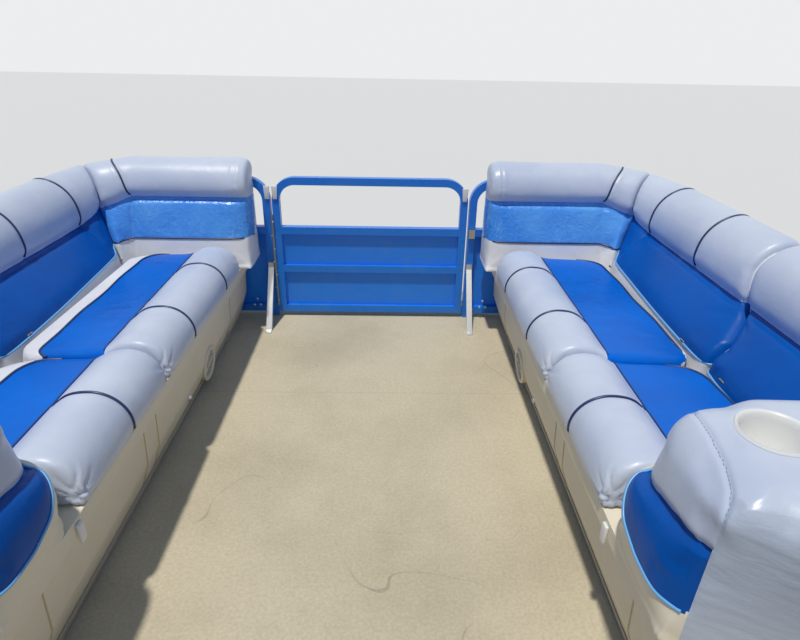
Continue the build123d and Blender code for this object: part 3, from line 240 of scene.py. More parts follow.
@dataclass(frozen=True)
class GrainedVinyl(Finish):
    """Upholstery vinyl, calendered on a grained roll: fine leather-like cells, soft sheen, sun-worn tone."""

    worn_colour: str = "FFFFFF"
    grain_mm: float = 2.6
    crease_mm: float = 60.0
    grain_depth: float = 0.10
    crease_depth: float = 0.22
    crease_stretch: tuple[float, float, float] = (1.0, 1.0, 1.0)
    # Share and colour of painted highlight: pale streaks that stand in for sun glints
    glint_share: float = 0.0
    glint_colour: str = "B9D6F4"

    def painted_glints(self, brush: Brush, tone: bpy.types.NodeSocket) -> bpy.types.NodeSocket:
        """Painted highlight: pale upright streaks in patches, standing in for the sun's glints on fine
        cracks. Pale hair cracks, upright and in patches, drawn coarser than the real ones so that they
        show.
        """
        upright = brush.stretched((1.0, 1.0, 0.30))
        lines = brush.ramp(brush.noise(9, 4.0, upright, Distortion=1.4), 0.540, 0.680)
        patches = brush.ramp(brush.noise(150, 2.0), 0.36, 0.62, 0.0, self.glint_share)
        return brush.mix(brush.maths("MULTIPLY", lines, patches), tone, self.glint_colour)

    def pattern(self, brush: Brush) -> None:
        """Grain as small cells, creases as stretched noise and a slow drift from fresh to worn colour."""
        drift = brush.noise(330, 4.0, Roughness=0.6)
        tone = brush.mix(brush.ramp(drift, 0.35, 0.70), self.colour, self.worn_colour)
        brush.give("Base Color", self.painted_glints(brush, tone) if self.glint_share else tone)
        brush.gloss(drift, self.roughness, 0.8, 1.25, 0.3, 0.7)
        cells = brush.add("TexVoronoi", "Distance", {
            "Vector": brush.place, "Scale": per_metre(self.grain_mm)}, feature="SMOOTH_F1")
        creases = brush.noise(
            self.crease_mm, 5.0, brush.stretched(self.crease_stretch), Roughness=0.55, Distortion=0.8)
        fine = brush.bump(cells, self.grain_depth, 0.4)
        brush.give("Normal", brush.bump(creases, self.crease_depth, 6, fine))


@dataclass(frozen=True)
class WovenDeckCovering(Finish):
    """Marine deck covering, woven from coarse ribbed yarn: cross ribs, faint stains and thin scuff lines."""

    stain_colour: str = "A39A84"
    scuff_colour: str = "7F786A"
    yarn_mm: float = 5.0
    rib_mm: float = 9.0
    stain_mm: float = 420.0
    seam_y: float = 0.0
    seam_half_mm: float = 2.0

    def pattern(self, brush: Brush) -> None:
        """Ribs and yarns as crossed bands, slow stains, thin curved scuffs and the covering's butt seam."""
        stains = brush.noise(self.stain_mm, 8.0, Roughness=0.62)
        base = brush.mix(brush.ramp(stains, 0.42, 0.72, 0.0, 0.55), self.colour, self.stain_colour)
        flecked = brush.ramp(brush.noise(self.yarn_mm * 1.6, 2.0), 0.3, 0.7, 0.90, 1.06)
        yarn_tone = brush.mix(1.0, base, flecked, "MULTIPLY")
        line = brush.maths("FRACT", brush.maths("MULTIPLY", brush.noise(900, 1.0, Distortion=1.4), 7.0))
        near = brush.maths("COMPARE", line, 0.5, 0.0035)
        patchy = brush.ramp(stains, 0.50, 0.58, 0.0, 0.40)
        scuffed = brush.mix(brush.maths("MULTIPLY", near, patchy), yarn_tone, self.scuff_colour)
        seam = brush.maths("COMPARE", brush.axis("Y"), self.seam_y, self.seam_half_mm * MM)
        brush.give("Base Color", brush.mix(brush.maths("MULTIPLY", seam, 0.35), scuffed, self.stain_colour))
        ribs, yarns = (
            brush.add("TexWave", "Fac", {"Vector": brush.place, "Scale": per_metre(size) / 20},
                      bands_direction=way, wave_profile="SIN")
            for size, way in ((self.rib_mm, "Y"), (self.yarn_mm, "X")))
        brush.give("Normal", brush.bump(brush.maths("MULTIPLY", ribs, yarns), 0.35, 0.8))


@dataclass(frozen=True)
class MouldedPlastic(Finish):
    """Rotomoulded or injected plastic: slight orange peel, weathering that gathers towards the foot."""

    weathered_colour: str = "A8A08C"
    peel_mm: float = 4.0
    weather_foot: float = 0.0
    weather_top: float = 1.0
    weather_share: float = 0.35

    def pattern(self, brush: Brush) -> None:
        """Peel as fine bump, and a weathered tone that fades with height and breaks up with noise."""
        height = brush.ramp(brush.axis("Z"), self.weather_foot, self.weather_top, 1.0, 0.0)
        share = brush.maths("MULTIPLY", height, brush.noise(140, 6.0, Roughness=0.65))
        scaled = brush.maths("MULTIPLY", share, 2 * self.weather_share, clamp=True)
        brush.give("Base Color", brush.mix(scaled, self.colour, self.weathered_colour))
        brush.give("Normal", brush.bump(brush.noise(self.peel_mm, 2.0), 0.12, 0.3))


@dataclass(frozen=True)
class Enamel(Finish):
    """Baked enamel on aluminium tube and sheet: deep gloss, faint orange peel, chalky bloom in patches."""

    bloom_colour: str = "6E97D8"
    peel_mm: float = 6.0
    bloom_share: float = 0.18

    def pattern(self, brush: Brush) -> None:
        """Bloom as a broken tint that is also duller, and peel as a shallow bump."""
        bloom = brush.noise(90, 7.0, Roughness=0.7)
        share = brush.ramp(bloom, 0.48, 0.75, 0.0, self.bloom_share)
        brush.give("Base Color", brush.mix(share, self.colour, self.bloom_colour))
        brush.gloss(bloom, self.roughness, 0.7, 1.5)
        brush.give("Normal", brush.bump(brush.noise(self.peel_mm, 1.0), 0.10, 0.3))


@dataclass(frozen=True)
class RolledAluminium(Finish):
    """Rolled or extruded aluminium: fine lines along the rolling, dull oxide, scum line near the water."""

    oxide_colour: str = "A9ADB0"
    stretch: tuple[float, float, float] = (1.0, 0.03, 1.0)
    line_mm: float = 5.0
    scum_low: float = 0.0
    scum_high: float = 0.0
    scum_colour: str = "6B6A55"

    def pattern(self, brush: Brush) -> None:
        """Rolling lines as noise stretched along the grain, oxide patches and the scum line's tint."""
        along = brush.stretched(self.stretch)
        lines = brush.noise(self.line_mm, 4.0, along)
        oxide = brush.noise(90, 5.0, along, Roughness=0.55)
        tone = brush.mix(brush.ramp(oxide, 0.35, 0.75, 0.0, 0.6), self.colour, self.oxide_colour)
        if self.scum_high > self.scum_low:
            height = brush.maths("ADD", brush.axis("Z"), brush.maths("MULTIPLY_ADD", oxide, 0.05, -0.025))
            scum = brush.ramp(height, self.scum_low, self.scum_high, 0.45, 0.0)
            tone = brush.mix(scum, tone, self.scum_colour)
        brush.give("Base Color", tone)
        brush.gloss(lines, self.roughness, 0.75, 1.3)
        brush.give("Normal", brush.bump(lines, 0.08, 0.2))


@dataclass(frozen=True)
class SealedPlywood(Finish):
    """Marine plywood, rotary cut and sealed: long grain in two browns under a thin dull varnish."""

    grain_colour: str = "6E5233"
    grain_mm: float = 22.0

    def pattern(self, brush: Brush) -> None:
        """Grain as noise stretched along the sheet."""
        grain = brush.noise(self.grain_mm, 7.0, brush.stretched((1.0, 0.07, 1.0)), Distortion=0.6)
        brush.give("Base Color", brush.mix(brush.ramp(grain, 0.42, 0.62), self.colour, self.grain_colour))
        brush.give("Normal", brush.bump(grain, 0.15, 0.4))


@dataclass(frozen=True)
class SmokedAcrylic(Finish):
    """Cast acrylic sheet with a smoke tint: clear, hard gloss, a little haze from cleaning."""

    alpha: float = 0.38

    def pattern(self, brush: Brush) -> None:
        """Haze as uneven gloss; the tint is carried by the sheet's alpha."""
        brush.shader.inputs["Alpha"].default_value = self.alpha
        brush.gloss(brush.noise(45, 5.0), self.roughness, 0.5, 2)


# Vinyl is plasticised PVC: IOR about 1.53, half-dull from the grained roll and from sun and polish
GREY_VINYL = GrainedVinyl("grained_vinyl_grey", "BBC6DC", 0.36, ior=1.53, specular=0.4, worn_colour="D0D8E8")
BLUE_VINYL = GrainedVinyl("grained_vinyl_blue", "005EC4", 0.30, ior=1.53, specular=0.12, worn_colour="006EDC",
                          grain_mm=3.2)
# The backs' panels and the armrests' skirts take the seats' blue vinyl in a darker tone: painted shade for
# their steep faces, which the high sun barely lights
SHADED_BLUE_VINYL = GrainedVinyl("grained_vinyl_deep_blue", "004FA6", 0.30, ior=1.53, specular=0.12,
                           worn_colour="0058B4", grain_mm=3.2)
# The armrest covers are drawn tight round their corner, which pulls fine level wrinkles into the vinyl; on
# these aft faces the grey is also a little darker, which is painted shade
DRAWN_VINYL_PAINTED_SHADE = GrainedVinyl("drawn_vinyl_grey", "B2BED2", 0.38, ior=1.53, specular=0.4, worn_colour="BFCADA",
                           crease_mm=12.0, crease_depth=0.20, crease_stretch=(0.22, 0.22, 1.0))
# The bow panels: the same vinyl with fine crazing in its bump, painted a lighter blue and with pale streaks,
# which is painted highlight for the glare and sun glints on them
CRAZED_VINYL_PAINTED_GLARE = GrainedVinyl("sun_hardened_vinyl_blue", "2A84EA", 0.24, ior=1.53, specular=0.35,
                            worn_colour="62ACF4", grain_mm=9.0, crease_mm=26.0, grain_depth=0.5,
                            crease_depth=0.6, glint_share=0.28)
IVORY_VINYL = GrainedVinyl("grained_vinyl_ivory", "DFE1E8", 0.42, ior=1.53, worn_colour="EDEEF2")
NAVY_PIPING = Finish("extruded_vinyl_piping_navy", "132B5E", 0.35, ior=1.53)
# Bonded polyester thread, a shade darker than the vinyl that it sews
THREAD = Finish("bonded_polyester_thread", "7484A2", 0.6)
# Painted shade: the dark of the speaker grilles' open slots, given to thin rods laid across the grille
SLOT_SHADE = Finish("moulded_asa_slot", "6E695E", 0.7)
NEEDLE_PAINT = Finish("printed_needle_red", "C23A22", 0.4)
DIAL_PAINT = Finish("printed_dial_black", "141618", 0.35)
SKY_PIPING = Finish("extruded_vinyl_piping_sky", "6FB2E6", 0.35, ior=1.53)
# Polyethylene seat bases and trim: rotomoulded, waxy, IOR about 1.51
CREAM_PLASTIC = MouldedPlastic("rotomoulded_polyethylene_cream", "E6DECB", 0.50, ior=1.51, weather_foot=0.775,
                               weather_top=1.1)
WHITE_PLASTIC = MouldedPlastic("injected_acetal_white", "E6E7E6", 0.32, ior=1.48, weathered_colour="C8C8C2",
                               weather_share=0.1)
BLACK_PLASTIC = MouldedPlastic("injected_nylon_black", "17181A", 0.48, ior=1.53, weathered_colour="2A2B2D",
                               weather_share=0.2)
GELCOAT = MouldedPlastic("moulded_gelcoat_ivory", "D2CBB8", 0.22, ior=1.55, coat=0.4,
                         weathered_colour="B3AB97", weather_foot=0.775, weather_top=1.8, weather_share=0.2)
DECK_COVERING = WovenDeckCovering("woven_marine_vinyl_beige", "C8BEA6", 0.85, specular=0.3, seam_y=2.671)
FENCE_ENAMEL = Enamel("baked_enamel_blue", "1C7AE2", 0.28, specular=0.4)
SHEET_ENAMEL = Enamel("baked_enamel_deep_blue", "1A84FA", 0.32, specular=0.4)
HULL_ALUMINIUM = RolledAluminium("rolled_aluminium_mill", "C3C6C8", 0.42, metallic=1.0, scum_low=0.36,
                                 scum_high=0.42)
TRIM_ALUMINIUM = RolledAluminium("anodised_aluminium_satin", "CDD0D2", 0.34, metallic=1.0,
                                 oxide_colour="B4B8BB")
BRACE_ALUMINIUM = RolledAluminium("anodised_aluminium_pale", "DADDE0", 0.40, metallic=0.9,
                                  stretch=(1.0, 1.0, 0.03), oxide_colour="C4C7C9")
STAINLESS = RolledAluminium("polished_stainless_steel", "CBCDD0", 0.30, metallic=0.8, oxide_colour="BDBFC2",
                            stretch=(1.0, 1.0, 1.0), line_mm=12.0)
PLYWOOD = SealedPlywood("sealed_marine_plywood", "9A7A52", 0.6)
SCREEN_ACRYLIC = SmokedAcrylic("cast_acrylic_smoked", "5B646C", 0.06, ior=1.49)
WHEEL_FOAM = Finish("moulded_urethane_black", "1B1B1C", 0.62)
MOTOR_ENAMEL = Enamel("stoved_enamel_graphite", "26292E", 0.34, bloom_colour="3D4146", coat=0.2)
COWL_GLOSS = Enamel("clear_coated_graphite", "1B1E23", 0.16, bloom_colour="2A2E34", coat=0.7, bloom_share=0.1)
ENGINE_CAST = RolledAluminium("sand_cast_aluminium", "8E9092", 0.6, metallic=1.0)
PROPELLER_PAINT = Enamel("sprayed_enamel_black", "1A1A1C", 0.36, bloom_colour="343436")


def dress(piece: bpy.types.Object, *finishes: Finish) -> bpy.types.Object:
    """Put finishes in an object's material slots, in order.

    Args:
        piece: new piece or CAD node.
        finishes: one finish for each slot.

    Returns:
        The same object.
    """
    piece.data.materials.clear()
    for finish in finishes:
        piece.data.materials.append(finish.build())
    return piece


class NodeFinish(Enum):
    """CAD nodes that show as they are, each with its finish."""

    pontoon_tubes = HULL_ALUMINIUM
    riser_angles = RolledAluminium("extruded_aluminium_angle", "BFC2C4", 0.45, metallic=1.0)
    cross_members = RolledAluminium("extruded_aluminium_channel", "BFC2C4", 0.46, metallic=1.0,
                                    stretch=(0.03, 1.0, 1.0))
    motor_pod = RolledAluminium("welded_aluminium_plate", "C0C3C5", 0.44, metallic=1.0, scum_low=0.34,
                                scum_high=0.42)
    deck_board = PLYWOOD
    deck_covering = DECK_COVERING
    deck_edge_trim = TRIM_ALUMINIUM
    bow_fence_frames = FENCE_ENAMEL
    stern_fence_frames = Enamel("baked_enamel_blue_stern", "1874DA", 0.29, specular=0.4)
    fence_panels = SHEET_ENAMEL
    bow_gate_frame = Enamel("baked_enamel_blue_bow_gate", "1E7EE6", 0.27, specular=0.4)
    stern_gate_frame = Enamel("baked_enamel_blue_stern_gate", "1E7EE6", 0.28, specular=0.4)
    side_gate_frame = Enamel("baked_enamel_blue_side_gate", "1E7EE6", 0.29, specular=0.4)
    bow_gate_sheet = Enamel("baked_enamel_sheet_bow_gate", "2486F4", 0.30, specular=0.4)
    stern_gate_sheet = Enamel("baked_enamel_sheet_stern_gate", "2486F4", 0.31, specular=0.4)
    side_gate_sheet = Enamel("baked_enamel_sheet_side_gate", "2486F4", 0.32, specular=0.4)
    gate_braces = BRACE_ALUMINIUM
    gate_hinges = RolledAluminium("rolled_steel_piano_hinge", "8F959C", 0.45, metallic=0.6,
                                  oxide_colour="6F757C", stretch=(1.0, 1.0, 0.05))
    gate_latches = RolledAluminium("cast_stainless_latch", "CFCFCD", 0.24, metallic=1.0)
    lounge_bases = CREAM_PLASTIC
    bench_bases = MouldedPlastic("rotomoulded_polyethylene_bench", "DCD4C0", 0.5, ior=1.51,
                                 weather_foot=0.775, weather_top=1.1)
    cup_holders = WHITE_PLASTIC
    helm_console = GELCOAT
    windscreen = SCREEN_ACRYLIC
    steering_wheel = WHEEL_FOAM
    control_box = MouldedPlastic("injected_nylon_graphite", "1F2124", 0.40, ior=1.53, weather_share=0.1)
    chair_pedestal = RolledAluminium("spun_aluminium_polished", "CFD1D3", 0.22, metallic=1.0)
    boarding_ladder = RolledAluminium("drawn_aluminium_tube", "CACDCF", 0.30, metallic=1.0)
    ladder_brackets = RolledAluminium("pressed_stainless_bracket", "C6C6C4", 0.26, metallic=1.0)
    deck_cleats = RolledAluminium("cast_aluminium_cleat", "CDCFD0", 0.26, metallic=1.0)
    navigation_lights = MouldedPlastic("injected_asa_white", "E2E3E2", 0.3, ior=1.52, weather_share=0.1)
    clamp_bracket = MOTOR_ENAMEL
    swivel_bracket = Enamel("stoved_enamel_swivel", "24272C", 0.36, bloom_colour="3B3F45")
    motor_leg = Enamel("stoved_enamel_leg", "282B30", 0.32, bloom_colour="3F4349", coat=0.2)
    motor_cowl = COWL_GLOSS
    engine_block = ENGINE_CAST
    propeller = PROPELLER_PAINT


def deselect() -> None:
    """Leave edit mode and deselect every object."""
    if bpy.context.object is not None and bpy.context.object.mode != "OBJECT":
        bpy.ops.object.mode_set(mode="OBJECT")
    bpy.ops.object.select_all(action="DESELECT")


def activate(*pieces: bpy.types.Object) -> None:
    """Select these objects alone and make the first one active."""
    deselect()
    for piece in pieces:
        piece.select_set(True)
    bpy.context.view_layer.objects.active = pieces[0]


def edit(*modes: str) -> None:
    """Enter edit mode on the active object with nothing selected, to choose among these kinds of element."""
    bpy.ops.object.mode_set(mode="EDIT")
    for mode in modes or ("VERT",):
        bpy.ops.mesh.select_mode(type=mode)
    bpy.ops.mesh.select_all(action="DESELECT")


def unselect(*kinds: Iterable[Any]) -> None:
    """Leave edit mode and clear these kinds of element of a mesh."""
    bpy.ops.object.mode_set(mode="OBJECT")
    for kind in kinds:
        for element in kind:
            element.select = False


def select_faces(piece: bpy.types.Object, chosen: Callable[[bpy.types.MeshPolygon], bool]) -> None:
    """In edit mode, select the faces that the test accepts and nothing else."""
    unselect(piece.data.vertices, piece.data.edges)
    for face in piece.data.polygons:
        face.select = bool(chosen(face))
    bpy.ops.object.mode_set(mode="EDIT")
    bpy.ops.mesh.select_mode(type="FACE")


def select_edges(piece: bpy.types.Object, chosen: Callable[[Vector, Vector], bool]) -> None:
    """In edit mode, select the edges whose two ends the test accepts and nothing else."""
    points = piece.data.vertices
    unselect(piece.data.polygons, points)
    for edge in piece.data.edges:
        edge.select = bool(chosen(points[edge.vertices[0]].co, points[edge.vertices[1]].co))
    bpy.ops.object.mode_set(mode="EDIT")
    bpy.ops.mesh.select_mode(type="EDGE")


def settle(piece: bpy.types.Object) -> bpy.types.Object:
    """Leave the object at the origin, unturned and unscaled, its place in its mesh."""
    activate(piece)
    bpy.ops.object.transform_apply(location=True, rotation=True, scale=True)
    return piece


def named(name: str) -> bpy.types.Object:
    """Name the active object and its data, and return it."""
    piece = bpy.context.object
    piece.name = name
    piece.data.name = name
    return piece


def add_block(name: str, middle: Sequence[float], size: Sequence[float]) -> bpy.types.Object:
    """Add a block at its size and place, as the start of a piece."""
    deselect()
    bpy.ops.mesh.primitive_cube_add(size=1, location=middle, scale=size)
    return settle(named(name))


def add_rod(
    name: str, middle: Sequence[float], axis: Sequence[float], radius: float, length: float, sides: int = 24,
) -> bpy.types.Object:
    """Add a round bar along an axis, as the start of a piece.

    Args:
        name: the piece's name.
        middle: its middle.
        axis: the way it points.
        radius: its radius.
        length: its length.
        sides: number of sides of the circle.

    Returns:
        The new object.
    """
    deselect()
    bpy.ops.mesh.primitive_cylinder_add(vertices=sides, radius=radius, depth=length)
    piece = named(name)
    turn = Vector(axis).normalized().to_track_quat("Z", "Y").to_matrix().to_4x4()
    piece.matrix_world = Matrix.Translation(Vector(middle)) @ turn
    return settle(piece)


def apply(piece: bpy.types.Object, kind: str, **settings: Any) -> bpy.types.Object:
    """Add a modifier of this kind to a piece and apply it."""
    activate(piece)
    modifier = piece.modifiers.new("shaping", kind)
    for name, value in settings.items():
        setattr(modifier, name, value)
    bpy.ops.object.modifier_apply(modifier=modifier.name)
    return piece


def soften(piece: bpy.types.Object, width: float, segments: int = 2) -> bpy.types.Object:
    """Round a hard piece's edges with a bevel."""
    return apply(
        piece, "BEVEL", width=width, segments=segments, limit_method="ANGLE", angle_limit=math.radians(35))


def smooth(piece: bpy.types.Object, degrees: float = 40) -> bpy.types.Object:
    """Shade a piece smooth, but for edges sharper than an angle."""
    activate(piece)
    bpy.ops.object.shade_smooth_by_angle(angle=math.radians(degrees))
    return piece


def join(name: str, pieces: Sequence[bpy.types.Object]) -> bpy.types.Object:
    """Join pieces of one finish into one object."""
    activate(*pieces)
    bpy.ops.object.join()
    return named(name)


def duplicate(piece: bpy.types.Object, name: str, place: Matrix) -> bpy.types.Object:
    """Copy a piece with its own mesh to another place.

    Args:
        piece: piece to copy.
        name: name of the copy.
        place: what moves the original's mesh to the copy's place.

    Returns:
        The copy.
    """
    copy = piece.copy()
    copy.data = piece.data.copy()
    copy.name = name
    copy.data.name = name
    bpy.context.collection.objects.link(copy)
    copy.data.transform(place)
    if place.determinant() < 0:
        copy.data.flip_normals()
    return copy


TO_PORT = Matrix.Scale(-1, 4, (1, 0, 0))


def both_sides(piece: bpy.types.Object) -> tuple[bpy.types.Object, bpy.types.Object]:
    """A starboard piece and its port twin, which is named for its side."""
    return piece, duplicate(piece, piece.name.replace("starboard_", "port_"), TO_PORT)


def eased(share: np.ndarray) -> np.ndarray:
    """A share between 0 and 1 that starts and ends gently."""
    return share * share * (3 - 2 * share)


def rows_of(items: Any, name: str) -> np.ndarray:
    """A three-part attribute of a mesh's vertices or faces, one row each."""
    flat = np.empty(len(items) * 3, np.float32)
    items.foreach_get(name, flat)
    return flat.reshape(-1, 3).astype(float)


def points_of(piece: bpy.types.Object) -> np.ndarray:
    """Places of a mesh's vertices."""
    return rows_of(piece.data.vertices, "co")


def put_points(piece: bpy.types.Object, places: np.ndarray) -> None:
    """Move a mesh's vertices to new places, one row each."""
    piece.data.vertices.foreach_set("co", places.astype(np.float32).ravel())
    piece.data.update()


def normals_of(piece: bpy.types.Object) -> np.ndarray:
    """Vertex normals of a mesh."""
    return rows_of(piece.data.vertex_normals, "vector")


def face_centres(piece: bpy.types.Object) -> np.ndarray:
    """Centres of a mesh's faces."""
    return rows_of(piece.data.polygons, "center")


def face_normals(piece: bpy.types.Object) -> np.ndarray:
    """Normals of a mesh's faces."""
    return rows_of(piece.data.polygons, "normal")


def weigh(piece: bpy.types.Object, name: str, weights: np.ndarray) -> bpy.types.VertexGroup:
    """Put a piece's vertices in a new group, each with its weight rounded to a tenth."""
    group = piece.vertex_groups.new(name=name)
    tenths = np.round(weights, 1)
    for level in np.unique(tenths):
        if level > 0:
            group.add([int(number) for number in np.nonzero(tenths == level)[0]], float(level), "REPLACE")
    return group


def rest_on(piece: bpy.types.Object, body: str, slot: str, *finishes: Finish) -> bpy.types.Object:
    """Dress a finished piece and let it ride on its body.

    Args:
        piece: the finished piece.
        body: CAD body that it rides on.
        slot: name of a material slot of the record; not used.
        finishes: one finish for each material slot of the mesh; none leaves the materials as they are.

    Returns:
        The piece.
    """
    if finishes:
        dress(piece, *finishes)
    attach(piece, body)
    LOG.info("%s rides on %s, %d faces", piece.name, body, len(piece.data.polygons))
    return piece


@dataclass(frozen=True)
class Lines:
    """Lines of the boat that several sub-assemblies share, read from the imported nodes.

    Sections are given as in a seat maker's drawing: u runs inboard from the fence line, w up from the deck.
    """

    deck: float
    fence_x: float
    fence_bow: float
    fence_stern: float
    half_tube: float = 0.016
    corner_radius: float = 0.300

    @classmethod
    def read(cls) -> "Lines":
        """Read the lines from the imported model."""
        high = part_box("bow_fence_frames")[1]
        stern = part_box("stern_fence_frames")[0]
        half_tube = cls.half_tube
        return cls(
            deck=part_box("deck_covering")[1].z,
            fence_x=high.x - half_tube,
            fence_bow=high.y - half_tube,
            fence_stern=stern.y + half_tube,
        )

    @property
    def cup(self) -> tuple[float, float]:
        """Middle of the starboard armrest's cup hole."""
        low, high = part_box("cup_holders")
        return high.x - (high.y - low.y) / 2, (low.y + high.y) / 2

    @property
    def corner(self) -> tuple[float, float]:
        """Centre of the starboard bow corner's bend."""
        return (self.fence_x - self.corner_radius, self.fence_bow - self.corner_radius)


class Run(Enum):
    """The way a seat runs: what its sections are taken across."""

    SIDE = "side"
    BOW = "bow"
    STERN = "stern"


@dataclass(frozen=True)
class SectionFrame:
    """Turns places on the starboard side into section coordinates (u, s, w) and back."""

    lines: Lines
    run: Run

    def read(self, places: np.ndarray) -> tuple[np.ndarray, np.ndarray, np.ndarray]:
        """Section coordinates of places.

        Args:
            places: one row of x, y and z each.

        Returns:
            u inboard from the fence, s along the run (y on the side, x elsewhere) and w over the deck.
        """
        x, y, z = places[:, 0], places[:, 1], places[:, 2]
        w = z - self.lines.deck
        if self.run is Run.SIDE:
            return self.lines.fence_x - x, y, w
        if self.run is Run.BOW:
            return self.lines.fence_bow - y, x, w
        return y - self.lines.fence_stern, x, w

    def place(self, u: float, s: float, w: float) -> Vector:
        """Place of one section point."""
        z = self.lines.deck + w
        if self.run is Run.SIDE:
            return Vector((self.lines.fence_x - u, s, z))
        if self.run is Run.BOW:
            return Vector((s, self.lines.fence_bow - u, z))
        return Vector((s, self.lines.fence_stern + u, z))

    @property
    def inboard(self) -> Vector:
        """Unit vector inboard."""
        ways = {Run.SIDE: (-1, 0, 0), Run.BOW: (0, -1, 0), Run.STERN: (0, 1, 0)}
        return Vector(ways[self.run])


@dataclass(frozen=True)
class Padding:
    """How a padded piece is stuffed: foam under vinyl, held at its seams and along its board."""

    voxel: float = 0.011
    shrink: float = 0.006
    cap: float = 0.011
    pressure: float = 4.0
    frames: int = 20
    rounding: int = 7


# Settings of the cloth simulation that suit backed upholstery vinyl
VINYL_CLOTH = {
    "quality": 4, "mass": 0.35, "tension_stiffness": 22, "compression_stiffness": 22, "shear_stiffness": 8,
    "bending_stiffness": 1.2, "use_pressure": True}


def soft_copy(node: str, name: str, keep: Callable[[Vector], bool]) -> bpy.types.Object:
    """Copy the part of a CAD node that the test accepts, merged into a closed mesh.

    Args:
        node: CAD node.
        name: name of the copy.
        keep: test of a vertex's place.

    Returns:
        The copy, riding on nothing yet.
    """
    source = bpy.data.objects[node]
    piece = bpy.data.objects.new(name, source.data.copy())
    piece.data.name = name
    bpy.context.collection.objects.link(piece)
    activate(piece)
    for vertex in piece.data.vertices:
        vertex.select = not keep(vertex.co)
    for group in (piece.data.edges, piece.data.polygons):
        for item in group:
            item.select = all(piece.data.vertices[number].select for number in item.vertices)
    bpy.ops.object.mode_set(mode="EDIT")
    bpy.ops.mesh.select_mode(type="VERT")
    bpy.ops.mesh.delete(type="VERT")
    bpy.ops.mesh.select_all(action="SELECT")
    bpy.ops.mesh.remove_doubles(threshold=1e-5)
    bpy.ops.mesh.normals_make_consistent(inside=False)
    bpy.ops.object.mode_set(mode="OBJECT")
    return piece


def stuff(
    piece: bpy.types.Object,
    padding: Padding,
    held: Callable[[np.ndarray, np.ndarray], np.ndarray],
    shape: Optional[Callable[[np.ndarray, np.ndarray], np.ndarray]] = None,
) -> bpy.types.Object:
    """Turn a closed mesh into a stuffed cushion: remeshed, rounded, swelled by a cloth simulation between
    what holds it, and subdivided.

    Args:
        piece: closed mesh.
        padding: how it is stuffed.
        held: from places and normals, the share by which each vertex is held by board or seam, 0 to 1.
        shape: from places and normals, new places, applied before the swelling.

    Returns:
        The same object.
    """
    activate(piece)
    piece.data.remesh_voxel_size = padding.voxel
    piece.data.use_remesh_fix_poles = True
    bpy.ops.object.voxel_remesh()
    apply(piece, "SMOOTH", factor=0.5, iterations=padding.rounding)
    if shape is not None:
        put_points(piece, shape(points_of(piece), normals_of(piece)))
    places, normals = points_of(piece), normals_of(piece)
    grip = np.clip(held(places, normals), 0, 1)
    put_points(piece, places - normals * (padding.shrink * (1 - grip))[:, None])
    start = points_of(piece)
    group = weigh(piece, "held", grip)
    activate(piece)
    modifier = piece.modifiers.new("swelling", "CLOTH")
    cloth = modifier.settings
    for name, value in VINYL_CLOTH.items():
        setattr(cloth, name, value)
    cloth.uniform_pressure_force = padding.pressure
    cloth.effector_weights.gravity = 0
    cloth.vertex_group_mass = group.name
    modifier.collision_settings.use_collision = False
    modifier.point_cache.frame_start = 1
    modifier.point_cache.frame_end = padding.frames
    for frame in range(1, padding.frames + 1):
        bpy.context.scene.frame_set(frame)
    bpy.ops.object.modifier_apply(modifier=modifier.name)
    bpy.context.scene.frame_set(1)
    swelled = points_of(piece)
    move = swelled - start
    length = np.linalg.norm(move, axis=1)
    capped = padding.cap * np.tanh(length / padding.cap)
    scale = np.where(length > 1e-9, capped / np.maximum(length, 1e-9), 0)
    put_points(piece, start + move * scale[:, None])
    piece.vertex_groups.clear()
    apply(piece, "SMOOTH", factor=0.5, iterations=2)
    apply(piece, "SUBSURF", levels=1, render_levels=1)
    return piece


def groove(piece: bpy.types.Object, distance: np.ndarray, depth: float, width: float) -> None:
    """Pull the surface in along a seam.

    Args:
        piece: mesh to shape.
        distance: distance of each vertex from the seam's line.
        depth: how deep the seam lies.
        width: how far its pull is felt.
    """
    pull = depth * np.exp(-(distance / width) ** 2)
    put_points(piece, points_of(piece) - normals_of(piece) * pull[:, None])


def distance_to(places: np.ndarray, line: Sequence[Vector]) -> np.ndarray:
    """Distance of places from a line of points that lie some millimetres apart."""
    track = np.array(line, float)
    dense = [track[:1]]
    for start, stop in zip(track[:-1], track[1:]):
        steps = max(1, int(np.linalg.norm(stop - start) / 0.004))
        dense.append(start + (stop - start) * (np.arange(1, steps + 1) / steps)[:, None])
    nearest = np.full(len(places), np.inf)
    for point in np.vstack(dense):
        nearest = np.minimum(nearest, ((places - point) ** 2).sum(axis=1))
    return np.sqrt(nearest)


def cut(
    piece: bpy.types.Object, point: Sequence[float], normal: Sequence[float],
    chosen: Optional[Callable[[Vector], bool]] = None,
) -> None:
    """Cut new edges where a plane crosses the mesh, for a clean border between two finishes.

    Args:
        piece: mesh to cut.
        point: a point of the plane.
        normal: the plane's normal.
        chosen: test of a face's middle, where only some faces are cut.
    """
    activate(piece)
    if chosen is None:
        edit("VERT")
        bpy.ops.mesh.select_all(action="SELECT")
    else:
        edit("FACE")
        near = [face.index for face in piece.data.polygons
                if abs((face.center - Vector(point)).dot(Vector(normal))) < 0.02 and chosen(face.center)]
        kept = set(near)
        select_faces(piece, lambda face: face.index in kept)
    bpy.ops.mesh.bisect(plane_co=point, plane_no=normal)
    bpy.ops.object.mode_set(mode="OBJECT")


def paint_faces(piece: bpy.types.Object, numbers: np.ndarray) -> bpy.types.Object:
    """Give each face of a dressed piece its material number."""
    piece.data.polygons.foreach_set("material_index", numbers.astype(np.int32))
    piece.data.update()
    return piece


def surface(piece: bpy.types.Object) -> BVHTree:
    """Search tree of a piece's surface."""
    return BVHTree.FromPolygons(
        [vertex.co.copy() for vertex in piece.data.vertices],
        [tuple(face.vertices) for face in piece.data.polygons])


